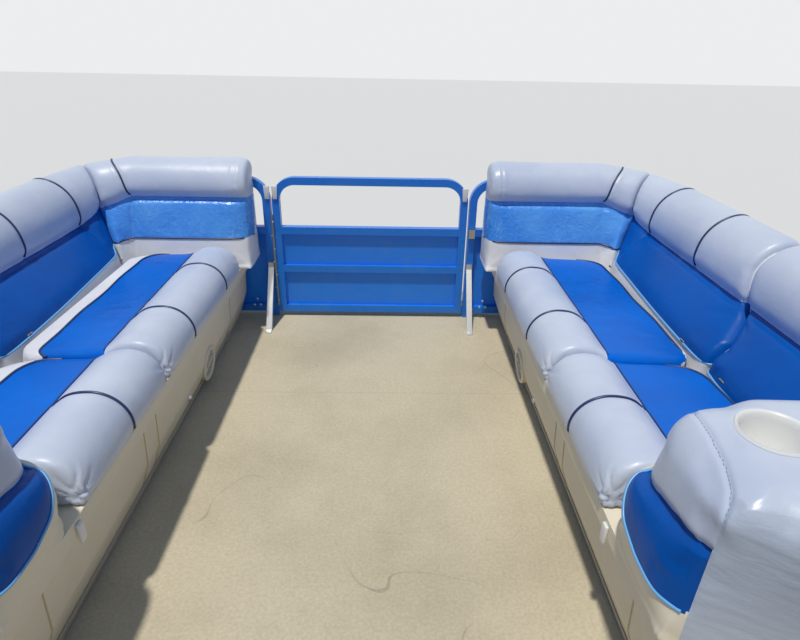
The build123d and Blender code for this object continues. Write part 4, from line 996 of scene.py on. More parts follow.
def trace(
    tree: BVHTree, rays: Iterable[tuple[Vector, Vector]], lift: float, reach: float = 0.6,
) -> list[Vector]:
    """Find where rays meet a surface, lifted off it a little.

    Args:
        tree: the surface.
        rays: start and way of each ray.
        lift: how far past the surface, back along its normal, each point stands.
        reach: longest ray.

    Returns:
        The points, without the rays that meet nothing.
    """
    found = []
    for start, way in rays:
        place, normal, _, _ = tree.ray_cast(start, way, reach)
        if place is not None:
            found.append(place + normal * lift)
    return found


def round_turns(count: int) -> np.ndarray:
    """Angles of evenly spaced places round a circle."""
    return np.linspace(0, 2 * math.pi, count, endpoint=False)


def cord_along(
    name: str, points: Sequence[Sequence[float]], radius: float, resolution: int, closed: bool = False,
) -> bpy.types.Object:
    """Carry a round section along points.

    Args:
        name: name of the piece.
        points: points along its middle.
        radius: radius of the section.
        resolution: how finely the section is rounded.
        closed: whether it runs round to its start.

    Returns:
        The piece as a mesh, active.
    """
    curve = bpy.data.curves.new(name, "CURVE")
    curve.dimensions = "3D"
    curve.bevel_depth = radius
    curve.bevel_resolution = resolution
    curve.use_fill_caps = not closed
    spline = curve.splines.new("POLY")
    spline.points.add(len(points) - 1)
    for point, place in zip(spline.points, points):
        point.co = (*place, 1)
    spline.use_cyclic_u = closed
    piece = bpy.data.objects.new(name, curve)
    bpy.context.collection.objects.link(piece)
    activate(piece)
    bpy.ops.object.convert(target="MESH")
    return named(name)


def welt(name: str, points: Sequence[Vector], radius: float) -> bpy.types.Object:
    """Make a welt cord that lies along points on a cushion's surface, its course smoothed."""
    track = np.array(points, float)
    for _ in range(3):
        track[1:-1] = 0.25 * track[:-2] + 0.5 * track[1:-1] + 0.25 * track[2:]
    return smooth_all(cord_along(name, track, radius, 1))


def corner_round(near: float, radius: float) -> float:
    """How far a rounded corner stands in from its edge at a distance from the end."""
    if near >= radius:
        return 0.0
    return radius - math.sqrt(max(0.0, radius ** 2 - (radius - max(near, 0.0)) ** 2))


def near_line(u: np.ndarray, w: np.ndarray, at: tuple[float, float]) -> np.ndarray:
    """Distance of section points from one point of the section, the seam's line seen on end."""
    return np.hypot(u - at[0], w - at[1])


@dataclass
class SeatCushion:
    """A seat cushion: flat blue insert, crowned grey front roll with piped rings, ivory strip at the rear."""

    node: str
    body: str
    frame: SectionFrame
    rear: float
    low: float
    high: float
    rings: Sequence[float]
    port_node: str
    port_body: str
    seam: float = 0.250
    seam_height: float = 0.386
    depth: float = 0.430
    foot: float = 0.300
    insert_rear: float = 0.014
    port_insert_rear: float = 0.062
    through: tuple[bool, bool] = (False, False)
    front_corner: float = 0.085
    aft_corner: float = 0.030
    # Depth and width of the grooves at the seam and at the rings
    seam_groove: tuple[float, float] = (0.004, 0.010)
    ring_groove: tuple[float, float] = (0.0045, 0.010)
    # Height and spread of the folds at the front corners
    gather: tuple[float, float] = (0.0024, 0.055)
    # Middle of the front roll: in front of the cushion's rear, height over deck
    roll_heart: tuple[float, float] = (0.335, 0.345)
    welt_radius: float = 0.0040
    padding: Padding = field(default_factory=Padding)

    def insert_edge(self, behind: float) -> list[tuple[float, float]]:
        """Rear edge of the blue insert, so far in front of the cushion's rear: (u, s) points along it."""
        points = []
        margin = 0.010
        for share in np.linspace(0, 1, 9)[:-1]:
            turn = share * math.pi / 2
            points.append((self.rear + behind + self.aft_corner * (1 - math.sin(turn)),
                           self.low + margin + self.aft_corner * (1 - math.cos(turn))))
        start, stop = self.low + margin + self.aft_corner, self.high - margin - self.front_corner
        for s in np.linspace(start, stop, 26):
            wave = 0.004 * math.sin(2 * math.pi * (s - start) / 0.31)
            fade = min(1.0, (s - start) / 0.06, (stop - s) / 0.06)
            points.append((self.rear + behind + wave * max(0.0, fade), s))
        for share in np.linspace(0, 1, 11)[1:]:
            turn = share * math.pi / 2
            points.append((self.rear + behind + self.front_corner * (1 - math.cos(turn)),
                           self.high - margin - self.front_corner * (1 - math.sin(turn))))
        return points

    def held(self, places: np.ndarray, _: np.ndarray) -> np.ndarray:
        """Board below, rear wall and seams hold the vinyl."""
        u, s, w = self.frame.read(places)
        board = np.where(w < self.foot + 0.012, 1.0, 0.0)
        rear = np.where(u < self.rear + 0.012, 0.9, 0.0)
        seam = np.exp(-(near_line(u, w, (self.rear + self.seam, self.seam_height)) / 0.012) ** 2)
        grip = np.maximum.reduce([board, rear, seam])
        roll = u > self.rear + self.seam
        for ring in self.rings:
            grip = np.maximum(grip, np.where(roll, np.exp(-((s - ring) / 0.011) ** 2), 0))
        flat = np.where((u < self.rear + self.seam) & (w > 0.35), 0.55, 0.0)
        return np.maximum(grip, flat)

    def ends(self, places: np.ndarray, _: np.ndarray) -> np.ndarray:
        """Where the ends are rounded more: the upper edges near each end."""
        _, s, w = self.frame.read(places)
        near = np.minimum(s - self.low, self.high - s)
        return np.clip(1.3 - near / 0.045, 0, 1) * np.clip((w - self.foot - 0.01) / 0.04, 0, 1)

    def shaped(self) -> bpy.types.Object:
        """Model the starboard cushion, cut and painted."""
        piece = soft_copy(self.node, self.node + "_cover", lambda place: place.x > 0)
        round_ends(piece, self.padding, self.ends)
        stuff(piece, self.padding, self.held)
        u, s, w = self.frame.read(points_of(piece))
        seam_u = self.rear + self.seam
        groove(piece, near_line(u, w, (seam_u, self.seam_height)), *self.seam_groove)
        for ring in self.rings:
            u, s, w = self.frame.read(points_of(piece))
            away = np.where(u > seam_u - 0.004, np.abs(s - ring), 1.0)
            groove(piece, away, *self.ring_groove)
        for end in (self.low, self.high):
            corner = self.frame.place(self.rear + self.depth - 0.03, end, self.foot + 0.03)
            pucker(piece, corner, *self.gather, 9)
        cut(piece, self.frame.place(seam_u, 0, 0), self.frame.inboard)
        return piece

    def painted(self, piece: bpy.types.Object, behind: float) -> bpy.types.Object:
        """Give the faces of either side's cushion their vinyl: grey roll, blue insert, ivory rear strip."""
        u, s, w = self.frame.read(np.abs(face_centres(piece) * (1, 0, 0)) + face_centres(piece) * (0, 1, 1))
        up = face_normals(piece)[:, 2]
        edge = self.insert_edge(behind)
        border = np.interp(s, [point[1] for point in edge], [point[0] for point in edge])
        top = (u < self.rear + self.seam) & (up > 0.35) & (w > self.foot + 0.03)
        ends = (s < self.low + 0.010) | (s > self.high - 0.010)
        numbers = np.where(top & (u >= border) & ~ends, 1, np.where(u < self.rear + self.seam, 2, 0))
        for open_end, limit in zip(self.through, (s - self.low < 0.060, self.high - s < 0.060)):
            if open_end:
                rolled = limit & (w > self.foot + 0.03) & (u > self.rear + behind + 0.02)
                numbers = np.where(rolled & (u < self.rear + self.seam), 1, numbers)
        dress(piece, GREY_VINYL, BLUE_VINYL, IVORY_VINYL)
        return paint_faces(piece, numbers)

    def welts(self, piece: bpy.types.Object, name: str, behind: float) -> bpy.types.Object:
        """Lay the navy welts: a ring at each seam across the roll, and the insert's rear edge."""
        tree = surface(piece)
        cords = []
        in_front, height = self.roll_heart
        for number, ring in enumerate(self.rings):
            heart = self.frame.place(self.rear + in_front, ring, height)
            rays = [(heart, self.frame.inboard * math.cos(turn) + UP * math.sin(turn))
                    for turn in np.linspace(math.radians(153), math.radians(-19), 34)]
            cords.append(welt(f"{name}_ring_{number}", trace(tree, rays, 0.0010), self.welt_radius))
        rays = [(self.frame.place(u, s, 0.6), -UP) for u, s in self.insert_edge(behind)]
        cords.append(welt(f"{name}_edge", trace(tree, rays, 0.0012), self.welt_radius * 0.9))
        rays = [(self.frame.place(self.rear + self.seam - 0.004, s, 0.6), -UP)
                for s in np.linspace(self.low + 0.020, self.high - 0.020, 60)]
        cords.append(welt(f"{name}_crease", trace(tree, rays, 0.0008), self.welt_radius * 0.55))
        return join(name + "_welts", cords)

    def build(self) -> None:
        """Build both sides of the cushion with their welts."""
        piece = self.shaped()
        cords = self.welts(piece, self.node, self.insert_rear)
        port_cords = self.welts(piece, self.port_node, self.port_insert_rear)
        port_cords.data.transform(TO_PORT)
        port_cords.data.flip_normals()
        port = self.painted(duplicate(piece, self.port_node + "_cover", TO_PORT), self.port_insert_rear)
        self.painted(piece, self.insert_rear)
        for cover, cord, node, body in (
            (piece, cords, self.node, self.body), (port, port_cords, self.port_node, self.port_body),
        ):
            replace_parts(rest_on(smooth_all(cover), body, "seat_vinyl"), node)
            rest_on(cord, body, "seat_vinyl", NAVY_PIPING)


def smooth_all(piece: bpy.types.Object) -> bpy.types.Object:
    """Shade every face of a soft piece smooth."""
    activate(piece)
    bpy.ops.object.shade_smooth()
    return piece


def round_ends(
    piece: bpy.types.Object,
    padding: Padding,
    where: Callable[[np.ndarray, np.ndarray], np.ndarray],
    rounds: int = 34,
) -> None:
    """Remesh a piece and round it more where its cover is drawn tight over an end.

    Args:
        piece: closed mesh.
        padding: gives the voxel size.
        where: share of the rounding for each vertex, from places and normals.
        rounds: number of smoothing rounds.
    """
    activate(piece)
    piece.data.remesh_voxel_size = padding.voxel
    bpy.ops.object.voxel_remesh()
    group = weigh(piece, "ends", np.clip(where(points_of(piece), normals_of(piece)), 0, 1))
    apply(piece, "SMOOTH", factor=0.5, iterations=rounds, vertex_group=group.name)
    piece.vertex_groups.clear()


def pucker(piece: bpy.types.Object, middle: Vector, height: float, spread: float, folds: int) -> None:
    """Raise small folds that run together at a corner where the cover is gathered.

    Args:
        piece: mesh to shape.
        middle: place that the folds run to.
        height: height of the folds.
        spread: how far they are felt.
        folds: number of folds round the place.
    """
    places, normals = points_of(piece), normals_of(piece)
    away = places - np.array(middle)
    distance = np.linalg.norm(away, axis=1)
    turn = np.arctan2(away[:, 2], np.hypot(away[:, 0], away[:, 1]) * np.sign(away[:, 0] + away[:, 1] + 1e-9))
    share = np.exp(-(distance / spread) ** 2) * np.clip(distance / 0.012, 0, 1)
    wave = np.cos(folds * turn) + 0.5 * np.cos(2.3 * folds * turn + 1.0)
    put_points(piece, places + normals * (height * share * wave)[:, None])


@dataclass(frozen=True)
class BackRow:
    """Section of a seat back: height of its crest, of the bolster's lower edge and of the panel's foot."""

    crest: float
    bolster_low: float
    panel_z: float

    def mixed(self, other: "BackRow", share: float) -> "BackRow":
        """The section part of the way to another one."""
        pairs = zip(astuple(self), astuple(other))
        return BackRow(*(own + (far - own) * share for own, far in pairs))


SIDE_ROW = BackRow(0.690, 0.505, 0.392)
BOW_ROW = BackRow(0.735, 0.585, 0.415)
STERN_ROW = BackRow(0.690, 0.505, 0.400)
MITRE_ROW = SIDE_ROW.mixed(BOW_ROW, 0.5)


@dataclass
class SeatBack:
    """A seat back: grey bolster over the fence's top rail, blue panel below it, ivory strip at its foot.

    The run is measured along the fence from the end that has the square face: straight, then a bend as far
    as the mitre where the back has one.
    """

    node: str
    stem: str
    frame: SectionFrame
    row: BackRow
    first: float
    last: float
    rings: Sequence[tuple[float, float]]
    bend: bool = False
    plain_seams: Sequence[float] = ()
    # By default the panel takes the darker copy of the seats' blue vinyl, which is painted shade
    panel_finish: Finish = SHADED_BLUE_VINYL
    panel_ends: tuple[float, float] = (0.012, 0.012)
    panel_corners: tuple[float, float] = (0.060, 0.060)
    edge_rise: tuple[float, float] = (0.012, 0.0)
    square_end: float = 0.050
    end_shear: float = 0.0
    lower_welt: Finish = NAVY_PIPING
    welt_radius: float = 0.0040
    heart: tuple[float, float] = (0.078, 0.074)
    # Depth and width of the grooves under the bolster, at piped rings and at plain seams
    crease_groove: tuple[float, float] = (0.015, 0.015)
    ring_groove: tuple[float, float] = (0.0045, 0.010)
    plain_groove: tuple[float, float] = (0.0040, 0.007)
    padding: Padding = field(default_factory=lambda: Padding(cap=0.012))

    @property
    def straight(self) -> float:
        """Length of the straight run."""
        return abs(self.last - self.first)

    @property
    def length(self) -> float:
        """Length of the whole run along the fence."""
        bend = self.frame.lines.corner_radius * math.pi / 4 if self.bend else 0
        return self.straight + bend

    def read(self, places: np.ndarray) -> tuple[np.ndarray, np.ndarray, np.ndarray]:
        """Section coordinates of places: u inboard, t along the run from the square end, w over the deck."""
        u, s, w = self.frame.read(places)
        t = (s - self.first) * (1 if self.last > self.first else -1)
        if self.bend:
            x, y = self.frame.lines.corner
            radius = self.frame.lines.corner_radius
            angle = np.arctan2(places[:, 1] - y, places[:, 0] - x)
            turned = math.pi / 2 - angle if self.frame.run is Run.BOW else angle
            beyond = t > self.straight
            bent_u = radius - np.hypot(places[:, 0] - x, places[:, 1] - y)
            u = np.where(beyond, bent_u, u)
            t = np.where(beyond, self.straight + np.clip(turned, 0, 1.2) * radius, t)
        return u, t, w

    def row_at(self, t: np.ndarray) -> tuple[np.ndarray, np.ndarray]:
        """Height of the bolster's lower edge and of the panel's foot along the run."""
        share = np.clip((t - self.straight) / (self.frame.lines.corner_radius * math.pi / 4), 0, 1)
        share = share if self.bend else share * 0
        return (self.row.bolster_low + (MITRE_ROW.bolster_low - self.row.bolster_low) * share,
                self.row.panel_z + (MITRE_ROW.panel_z - self.row.panel_z) * share)

    def heights_at(self, t: float) -> tuple[float, float]:
        """The same two heights at one station."""
        low, foot = self.row_at(np.array([t]))
        return float(low[0]), float(foot[0])

    def stand(self, t: float) -> tuple[Vector, Vector]:
        """Foot of the section on the fence line at deck height, and the way inboard, at a station."""
        lines = self.frame.lines
        if t <= self.straight or not self.bend:
            s = self.first + t * (1 if self.last > self.first else -1)
            return self.frame.place(0, s, 0), self.frame.inboard
        angle = (t - self.straight) / lines.corner_radius
        angle = math.pi / 2 - angle if self.frame.run is Run.BOW else angle
        out = Vector((math.cos(angle), math.sin(angle), 0))
        x, y = lines.corner
        return Vector((x, y, lines.deck)) + out * lines.corner_radius, -out

    def low_edge(self, t: float) -> float:
        """Height of the blue panel's lower edge at a station, which rises round a corner at each end."""
        foot = self.heights_at(t)[1] + self.edge_rise[0] + self.edge_rise[1] * t
        lift = corner_round(t - self.panel_ends[0], self.panel_corners[0])
        lift += corner_round(self.length - t - self.panel_ends[1], self.panel_corners[1])
        return foot + lift

    def held(self, places: np.ndarray, _: np.ndarray) -> np.ndarray:
        """The board at the rear and below, the crease under the bolster and the rings hold the vinyl."""
        u, t, w = self.read(places)
        low, _ = self.row_at(t)
        up = np.clip((w - low) / (self.row.crest - self.row.bolster_low), 0, 1)
        board = np.where((w < 0.315) | ((u < 0.040) & (w < 0.63)), 1.0, 0.0)
        crease = np.exp(-(near_line(u, w - low, (0.150, 0.0)) / 0.014) ** 2)
        grip = np.maximum(board, crease)
        for ring, lean in list(self.rings) + [(seam, 0.0) for seam in self.plain_seams]:
            grip = np.maximum(grip, np.where(w > low, np.exp(-((t - ring - lean * up) / 0.011) ** 2), 0))
        if self.bend:
            grip = np.maximum(grip, np.exp(-((t - self.length) / 0.012) ** 2))
        return grip

    def ends(self, places: np.ndarray, _: np.ndarray) -> np.ndarray:
        """Where the ends are rounded more: all round the square end, a little at the other."""
        _, t, w = self.read(places)
        share = np.clip(1.4 - t / self.square_end, 0, 1)
        if not self.bend:
            share = np.maximum(share, np.clip(1.3 - (self.length - t) / 0.045, 0, 1))
        else:
            share = np.maximum(share, 0.5 * np.clip(1.2 - (self.length - t) / 0.020, 0, 1))
        return share * np.clip((w - 0.31) / 0.05, 0, 1)

    def shaped(self, keep: Callable[[Vector], bool]) -> bpy.types.Object:
        """Model the starboard back."""
        piece = soft_copy(self.node, f"starboard_{self.stem}", keep)
        round_ends(piece, self.padding, self.ends)
        stuff(piece, self.padding, self.held)
        u, t, w = self.read(points_of(piece))
        low, _ = self.row_at(t)
        groove(piece, near_line(u, w - low, (0.150, -0.002)), *self.crease_groove)
        seams = [(ring, lean, self.ring_groove) for ring, lean in self.rings]
        seams += [(seam, 0.0, self.plain_groove) for seam in self.plain_seams]
        for station, lean, pull in seams:
            line = trace(surface(piece), self.ring_rays(station, lean), 0)
            groove(piece, distance_to(points_of(piece), line), *pull)
        u, t, w = self.read(points_of(piece))
        low, _ = self.row_at(t)
        if self.bend:
            start = self.straight + 0.01
            groove(piece, np.where((w < low) & (u > 0.1), np.abs(t - start), 1.0), 0.003, 0.014)
            self.close_mitre(piece)
        self.cut_crease(piece)
        return self.painted(piece)

    def cut_crease(self, piece: bpy.types.Object) -> None:
        """Cut edges along the bolster's crease, level on the straight and sloping round the bend."""
        lines = self.frame.lines
        heights = [lines.deck + self.heights_at(t)[0] for t in (0.0, self.length)]
        cut(piece, (0, 0, heights[0]), UP,
            lambda middle: self.read(np.array([middle]))[1][0] < self.straight + 0.006)
        if self.bend:
            ends = []
            for t, height in ((self.straight, heights[0]), (self.length, heights[1])):
                foot, inboard = self.stand(t)
                place = foot + inboard * 0.150
                ends.append(Vector((place.x, place.y, height)))
            chord = ends[1] - ends[0]
            level = chord.cross(UP)
            cut(piece, ends[0], chord.cross(level).normalized(),
                lambda middle: self.read(np.array([middle]))[1][0] > self.straight - 0.006)

    def shear(self, piece: bpy.types.Object) -> None:
        """Slant the joint with the next back: its foot stands further aft than its crest."""
        places = points_of(piece)
        _, t, w = self.read(places)
        lean = np.interp(w, (0.30, 0.36, 0.42, 0.505, 0.60, 0.70), (-0.9, -1.0, -0.9, 0.0, 0.25, 0.35))
        places[:, 1] += self.end_shear * lean * eased(np.clip(1 - t / 0.28, 0, 1))
        put_points(piece, places)

    def close_mitre(self, piece: bpy.types.Object) -> None:
        """Draw the end at the mitre out until it all but meets its neighbour, as foam does when pressed."""
        places = points_of(piece)
        _, t, w = self.read(places)
        gap = max(0.0, self.length - 0.0012 - float(np.quantile(t[w > 0.45], 0.995)))
        share = np.clip((t - (self.length - 0.060)) / 0.050, 0, 1) ** 2 * np.clip((w - 0.33) / 0.08, 0, 1)
        x, y = self.frame.lines.corner
        out = places[:, :2] - (x, y)
        turn = (gap * share) / self.frame.lines.corner_radius
        turn = -turn if self.frame.run is Run.BOW else turn
        places[:, 0] = x + out[:, 0] * np.cos(turn) - out[:, 1] * np.sin(turn)
        places[:, 1] = y + out[:, 0] * np.sin(turn) + out[:, 1] * np.cos(turn)
        put_points(piece, places)
        LOG.info("%s mitre drawn out by %.1f mm", piece.name, gap / MM)

    def painted(self, piece: bpy.types.Object) -> bpy.types.Object:
        """Give the faces their vinyl: grey bolster and ends, blue panel, strip at the foot."""
        centres = face_centres(piece)
        u, t, w = self.read(centres)
        low, _ = self.row_at(t)
        edge = np.array([self.low_edge(float(station)) for station in t])
        face = (u > 0.055) & (w < low)
        panel = face & (w > edge)
        if not self.end_shear:
            panel &= t > self.panel_ends[0]
        if self.panel_ends[1]:
            panel &= self.length - t > self.panel_ends[1]
        dress(piece, GREY_VINYL, self.panel_finish, IVORY_VINYL)
        return paint_faces(piece, np.where(panel, 1, np.where(face, 2, 0)))

    def ring_rays(self, t: float, lean: float) -> list[tuple[Vector, Vector]]:
        """Rays from the bolster's heart over its face and crest to its lap on the rail.

        Args:
            t: station of the ring's lower end.
            lean: how far its crest stands beyond that.

        Returns:
            Start and way of each ray.
        """
        rays = []
        lowest = math.radians(-43)
        for turn in np.linspace(lowest, math.radians(176), 44):
            up = 1.0 if turn > math.pi / 2 else (math.sin(turn) - math.sin(lowest)) / (1 - math.sin(lowest))
            foot, inboard = self.stand(t + lean * up)
            low = self.heights_at(t)[0]
            start = foot + inboard * self.heart[0] + UP * (low + self.heart[1])
            rays.append((start, inboard * math.cos(turn) + UP * math.sin(turn)))
        return rays

    def edge_rays(self) -> list[tuple[Vector, Vector]]:
        """Rays from inside the back to the line of the panel's lower edge."""
        rays = []
        ends = self.panel_ends
        stations = np.linspace(ends[0] + 0.0005, self.length - max(ends[1], 0.003) - 0.0005, 70)
        extra = [ends[0] + self.panel_corners[0] * (1 - math.cos(turn)) for turn in np.linspace(0.05, 1.4, 8)]
        extra += [self.length - ends[1] - self.panel_corners[1] * (1 - math.cos(turn))
                  for turn in np.linspace(0.05, 1.4, 8)]
        for t in map(float, sorted(list(stations) + [t for t in extra if 0.003 < t < self.length - 0.003])):
            foot, inboard = self.stand(t)
            rays.append((foot + inboard * 0.10 + UP * self.low_edge(t), inboard))
        return rays

    def welts(self, piece: bpy.types.Object) -> list[bpy.types.Object]:
        """Lay the navy rings and the welt along the panel's lower edge."""
        tree = surface(piece)
        rings = [
            welt(f"{self.stem}_ring_{number}", trace(tree, self.ring_rays(*ring), 0.0010), self.welt_radius)
            for number, ring in enumerate(self.rings)]
        edge = welt(f"{self.stem}_edge", trace(tree, self.edge_rays(), 0.0012), self.welt_radius * 0.85)
        cords = [join(f"starboard_{self.stem}_rings", rings)] if rings else []
        cords.append(edge)
        edge.name = f"starboard_{self.stem}_edge_welt"
        if self.end_shear:
            bead = welt("bead", trace(tree, self.ring_rays(0.008, 0.0), 0.0004), 0.0036)
            foot, inboard = self.stand(0.007)
            low, edge = self.heights_at(0.0)[0], self.low_edge(0.007)
            rays = [(foot + inboard * 0.10 + UP * w, inboard)
                    for w in np.linspace(edge + 0.002, low - 0.006, 16)]
            end = welt("end", trace(tree, rays, 0.0012), 0.0028)
            cords.append(join(f"starboard_{self.stem}_end_bead", [bead, end]))
            for item in [piece] + cords:
                self.shear(item)
        return cords

    def build(self, keep: Callable[[Vector], bool]) -> None:
        """Build both sides of the back with their welts."""
        piece = self.shaped(keep)
        cords = self.welts(piece)
        for cover in both_sides(piece):
            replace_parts(rest_on(smooth_all(cover), "hull", "back_vinyl"), self.node)
        for cord in cords:
            finish = self.lower_welt if cord.name.endswith("edge_welt") else NAVY_PIPING
            finish = IVORY_VINYL if cord.name.endswith("end_bead") else finish
            for item in both_sides(cord):
                rest_on(item, "hull", "back_vinyl", finish)


@dataclass
class Armrest:
    """The block at the aft end of each lounge: grey lobe over a blue skirt with its welt, swept aft end with
    a sewn corner, and the cup hole. The foot under the skirt is the base's moulded shoulder."""

    lines: Lines
    corner: float = 0.105
    inner_in: float = 0.730
    seam_y: float = 1.480
    sweep: float = 0.45
    sweep_from: float = 1.550
    lobe_round: float = 0.085
    aft_round: float = 0.060
    lobe_inset: float = 0.031
    cup_grip: float = 0.064
    cup_radius: float = 0.0560
    # The tuck under the lobe: station, its height over deck there, its rise per metre aft
    tuck: tuple[float, float, float] = (1.660, 0.470, 0.155)
    # Depth and width of the grooves at the tuck, at the sewn seam and in the valley beside it
    tuck_groove: tuple[float, float] = (0.011, 0.008)
    seam_groove: tuple[float, float] = (0.0035, 0.0050)
    valley_groove: tuple[float, float] = (0.0045, 0.0160)
    valley_shift: tuple[float, float, float] = (-0.026, 0.020, -0.004)
    padding: Padding = field(default_factory=lambda: Padding(voxel=0.012, cap=0.010, rounding=4))
    # Distance round the block from where its inner front corner starts, height over deck
    skirt_line: Sequence[tuple[float, float]] = (
        (-0.185, 0.380), (-0.130, 0.371), (-0.060, 0.371), (0.005, 0.388), (0.030, 0.408), (0.060, 0.432),
        (0.100, 0.456), (0.140, 0.472))
    skirt_aft: float = -0.179
    # Height over deck, how far the cover stands proud of the block there
    flare: Sequence[tuple[float, float]] = (
        (0.300, 0.000), (0.350, 0.003), (0.385, 0.010), (0.430, 0.006), (0.460, -0.008), (0.476, -0.024),
        (0.500, -0.026), (0.540, -0.033), (0.640, -0.033))
    # The same along the sewn corner
    corner_flare: Sequence[tuple[float, float]] = (
        (0.300, 0.006), (0.350, 0.004), (0.400, -0.006), (0.460, -0.018), (0.520, -0.026), (0.640, -0.030))
    # Seam down the aft inner corner of the lobe: places on starboard, z over deck
    seam_line: Sequence[tuple[float, float, float]] = (
        (0.598, 1.735, 0.625), (0.596, 1.690, 0.622), (0.594, 1.630, 0.618), (0.584, 1.565, 0.612),
        (0.570, 1.522, 0.602), (0.556, 1.498, 0.590), (0.547, 1.484, 0.560), (0.545, 1.480, 0.500),
        (0.546, 1.478, 0.440), (0.548, 1.478, 0.385))

    @property
    def pivot(self) -> tuple[float, float]:
        """Centre of the inner front corner's bend."""
        return self.lines.fence_x - self.inner_in + self.corner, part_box("armrests")[1].y - self.corner

    def round_block(self, places: np.ndarray) -> np.ndarray:
        """Distance round the block's side from the start of its inner front corner, aft negative."""
        x, y = self.pivot
        turn = np.arctan2(places[:, 1] - y, x - places[:, 0])
        bent = np.clip(turn, 0, math.pi / 2) * self.corner
        past = np.where(places[:, 0] > x, places[:, 0] - x, 0)
        return np.where(places[:, 1] < y, places[:, 1] - y, bent + past)

    def aft_end(self, x: np.ndarray) -> np.ndarray:
        """Station of the swept aft end."""
        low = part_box("armrests")[0]
        inner = self.lines.fence_x - self.inner_in + 0.025
        return np.maximum(self.seam_y - self.sweep * np.clip(x - inner, 0, 1), low.y + 0.002)

    def held(self, places: np.ndarray, _: np.ndarray) -> np.ndarray:
        """The board below, the cup hole and the rear wall hold the cover."""
        w = places[:, 2] - self.lines.deck
        x, y = self.lines.cup
        hole = np.hypot(places[:, 0] - x, places[:, 1] - y)
        grip = np.where((w < 0.315) | (hole < self.cup_grip), 1.0, 0.0)
        return np.maximum(grip, np.where(places[:, 0] > self.lines.fence_x - 0.035, 1.0, 0.0))

    def in_corner(self, places: np.ndarray) -> tuple[np.ndarray, np.ndarray]:
        """The way out of the inner front corner at places, and how far inside its skin they are."""
        x, y = self.pivot
        away = np.stack([x - places[:, 0], places[:, 1] - y], axis=1)
        bent = np.hypot(*np.clip(away, 0, None).T)
        out = np.clip(away, 0, 1) / np.maximum(bent, 1e-6)[:, None] * (-1, 1)
        return out, self.corner - np.where((away > 0).any(axis=1), bent, away.max(axis=1))

    def swept(self, places: np.ndarray, _: np.ndarray) -> np.ndarray:
        """Draw the aft end in to its sweep, set the lobe back over the skirt and round the top's edges."""
        low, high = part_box("armrests")
        inner = self.lines.fence_x - self.inner_in
        square = np.stack([inner + self.corner - places[:, 0], low.y + self.corner - places[:, 1]], axis=1)
        square = square / self.corner
        bent = np.hypot(*np.clip(square, 1e-6, None).T)
        fuller = 1 + 0.85 * (bent / np.maximum(square.max(axis=1), 1e-6) - 1)
        fuller = np.where((square > 0).all(axis=1), fuller, 1.0)[:, None]
        places[:, :2] = (inner + self.corner, low.y + self.corner) - square * fuller * self.corner
        end = self.aft_end(places[:, 0])
        share = (self.sweep_from - end) / (self.sweep_from - low.y)
        y = places[:, 1]
        places[:, 1] = np.where(y < self.sweep_from, self.sweep_from - (self.sweep_from - y) * share, y)
        out, depth = self.in_corner(places)
        w = places[:, 2] - self.lines.deck
        side = eased(np.clip((places[:, 1] - self.seam_y - 0.005) / 0.050, 0, 1))
        proud = np.interp(w, *zip(*self.flare)) * side + np.interp(w, *zip(*self.corner_flare)) * (1 - side)
        front = np.clip((0.26 - self.round_block(places)) / 0.10, 0, 1)
        places[:, :2] += out * (proud * front * np.clip(1 - depth / 0.12, 0, 1))[:, None]
        depth = self.in_corner(places)[1] - self.lobe_inset * front
        aft_way = np.array((-self.sweep, -1.0)) / math.hypot(self.sweep, 1.0)
        from_aft = (places[:, 1] - self.aft_end(places[:, 0])) / math.hypot(self.sweep, 1.0)
        for way, into, radius in ((out, depth, self.lobe_round), (aft_way, from_aft, self.aft_round)):
            across = np.clip(1 - into / radius, 0, None)
            up = np.clip(1 - (high.z - places[:, 2]) / radius, 0, None)
            over = 1 - 1 / np.maximum(np.hypot(across, up), 1.0)
            both = (across > 0) & (up > 0)
            places[:, :2] -= way * np.where(both, across * over * radius, 0)[:, None]
            places[:, 2] -= np.where(both, up * over * radius, 0)
        return places

    def drawn(self, piece: bpy.types.Object) -> None:
        """Draw the cover to its form: open cup hole, full front edge, fine tension wrinkles aft."""
        places, normals = points_of(piece), normals_of(piece)
        w = places[:, 2] - self.lines.deck
        aft = np.clip((self.seam_y + 0.004 - places[:, 1]) / 0.012, 0, 1)
        aft = aft * np.clip(1.2 - np.abs(normals[:, 2]), 0, 1)
        band = aft * np.clip((w - 0.32) / 0.04, 0, 1) * np.clip((0.60 - w) / 0.05, 0, 1)
        x = places[:, 0]
        waver = np.sin(x / 0.048 + w / 0.10) + 0.7 * np.sin(x / 0.021 + 2.0)
        wrinkle = 0.0005 * np.sin(w / 0.0036 + 1.3 * waver) * (0.5 + 0.5 * np.sin(x / 0.033 + w / 0.027))
        places += normals * (wrinkle * band)[:, None]
        front = np.clip((places[:, 1] - 1.60) / 0.10, 0, 1) * np.clip((w - 0.56) / 0.04, 0, 1)
        places[:, 2] += 0.009 * front
        places[:, 1] += 0.004 * front
        x, y = self.lines.cup
        out = places[:, :2] - (x, y)
        radius = np.maximum(np.linalg.norm(out, axis=1), 1e-6)
        wide = np.where((radius < self.cup_radius) & (w > 0.50), self.cup_radius / radius, 1.0)
        places[:, :2] = (x, y) + out * wide[:, None]
        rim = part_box("cup_holders")[1].z - 0.0040
        raised = np.exp(-((radius - 0.058) / 0.010) ** 2) * (w > 0.56)
        places[:, 2] += np.clip(rim - places[:, 2], 0, 0.02) * raised
        put_points(piece, places)

    def skirt_top(self, y: np.ndarray) -> np.ndarray:
        """Height over deck where the skirt is tucked under the lobe, rising a little aft."""
        station, height, rise = self.tuck
        return height + rise * (station - y)

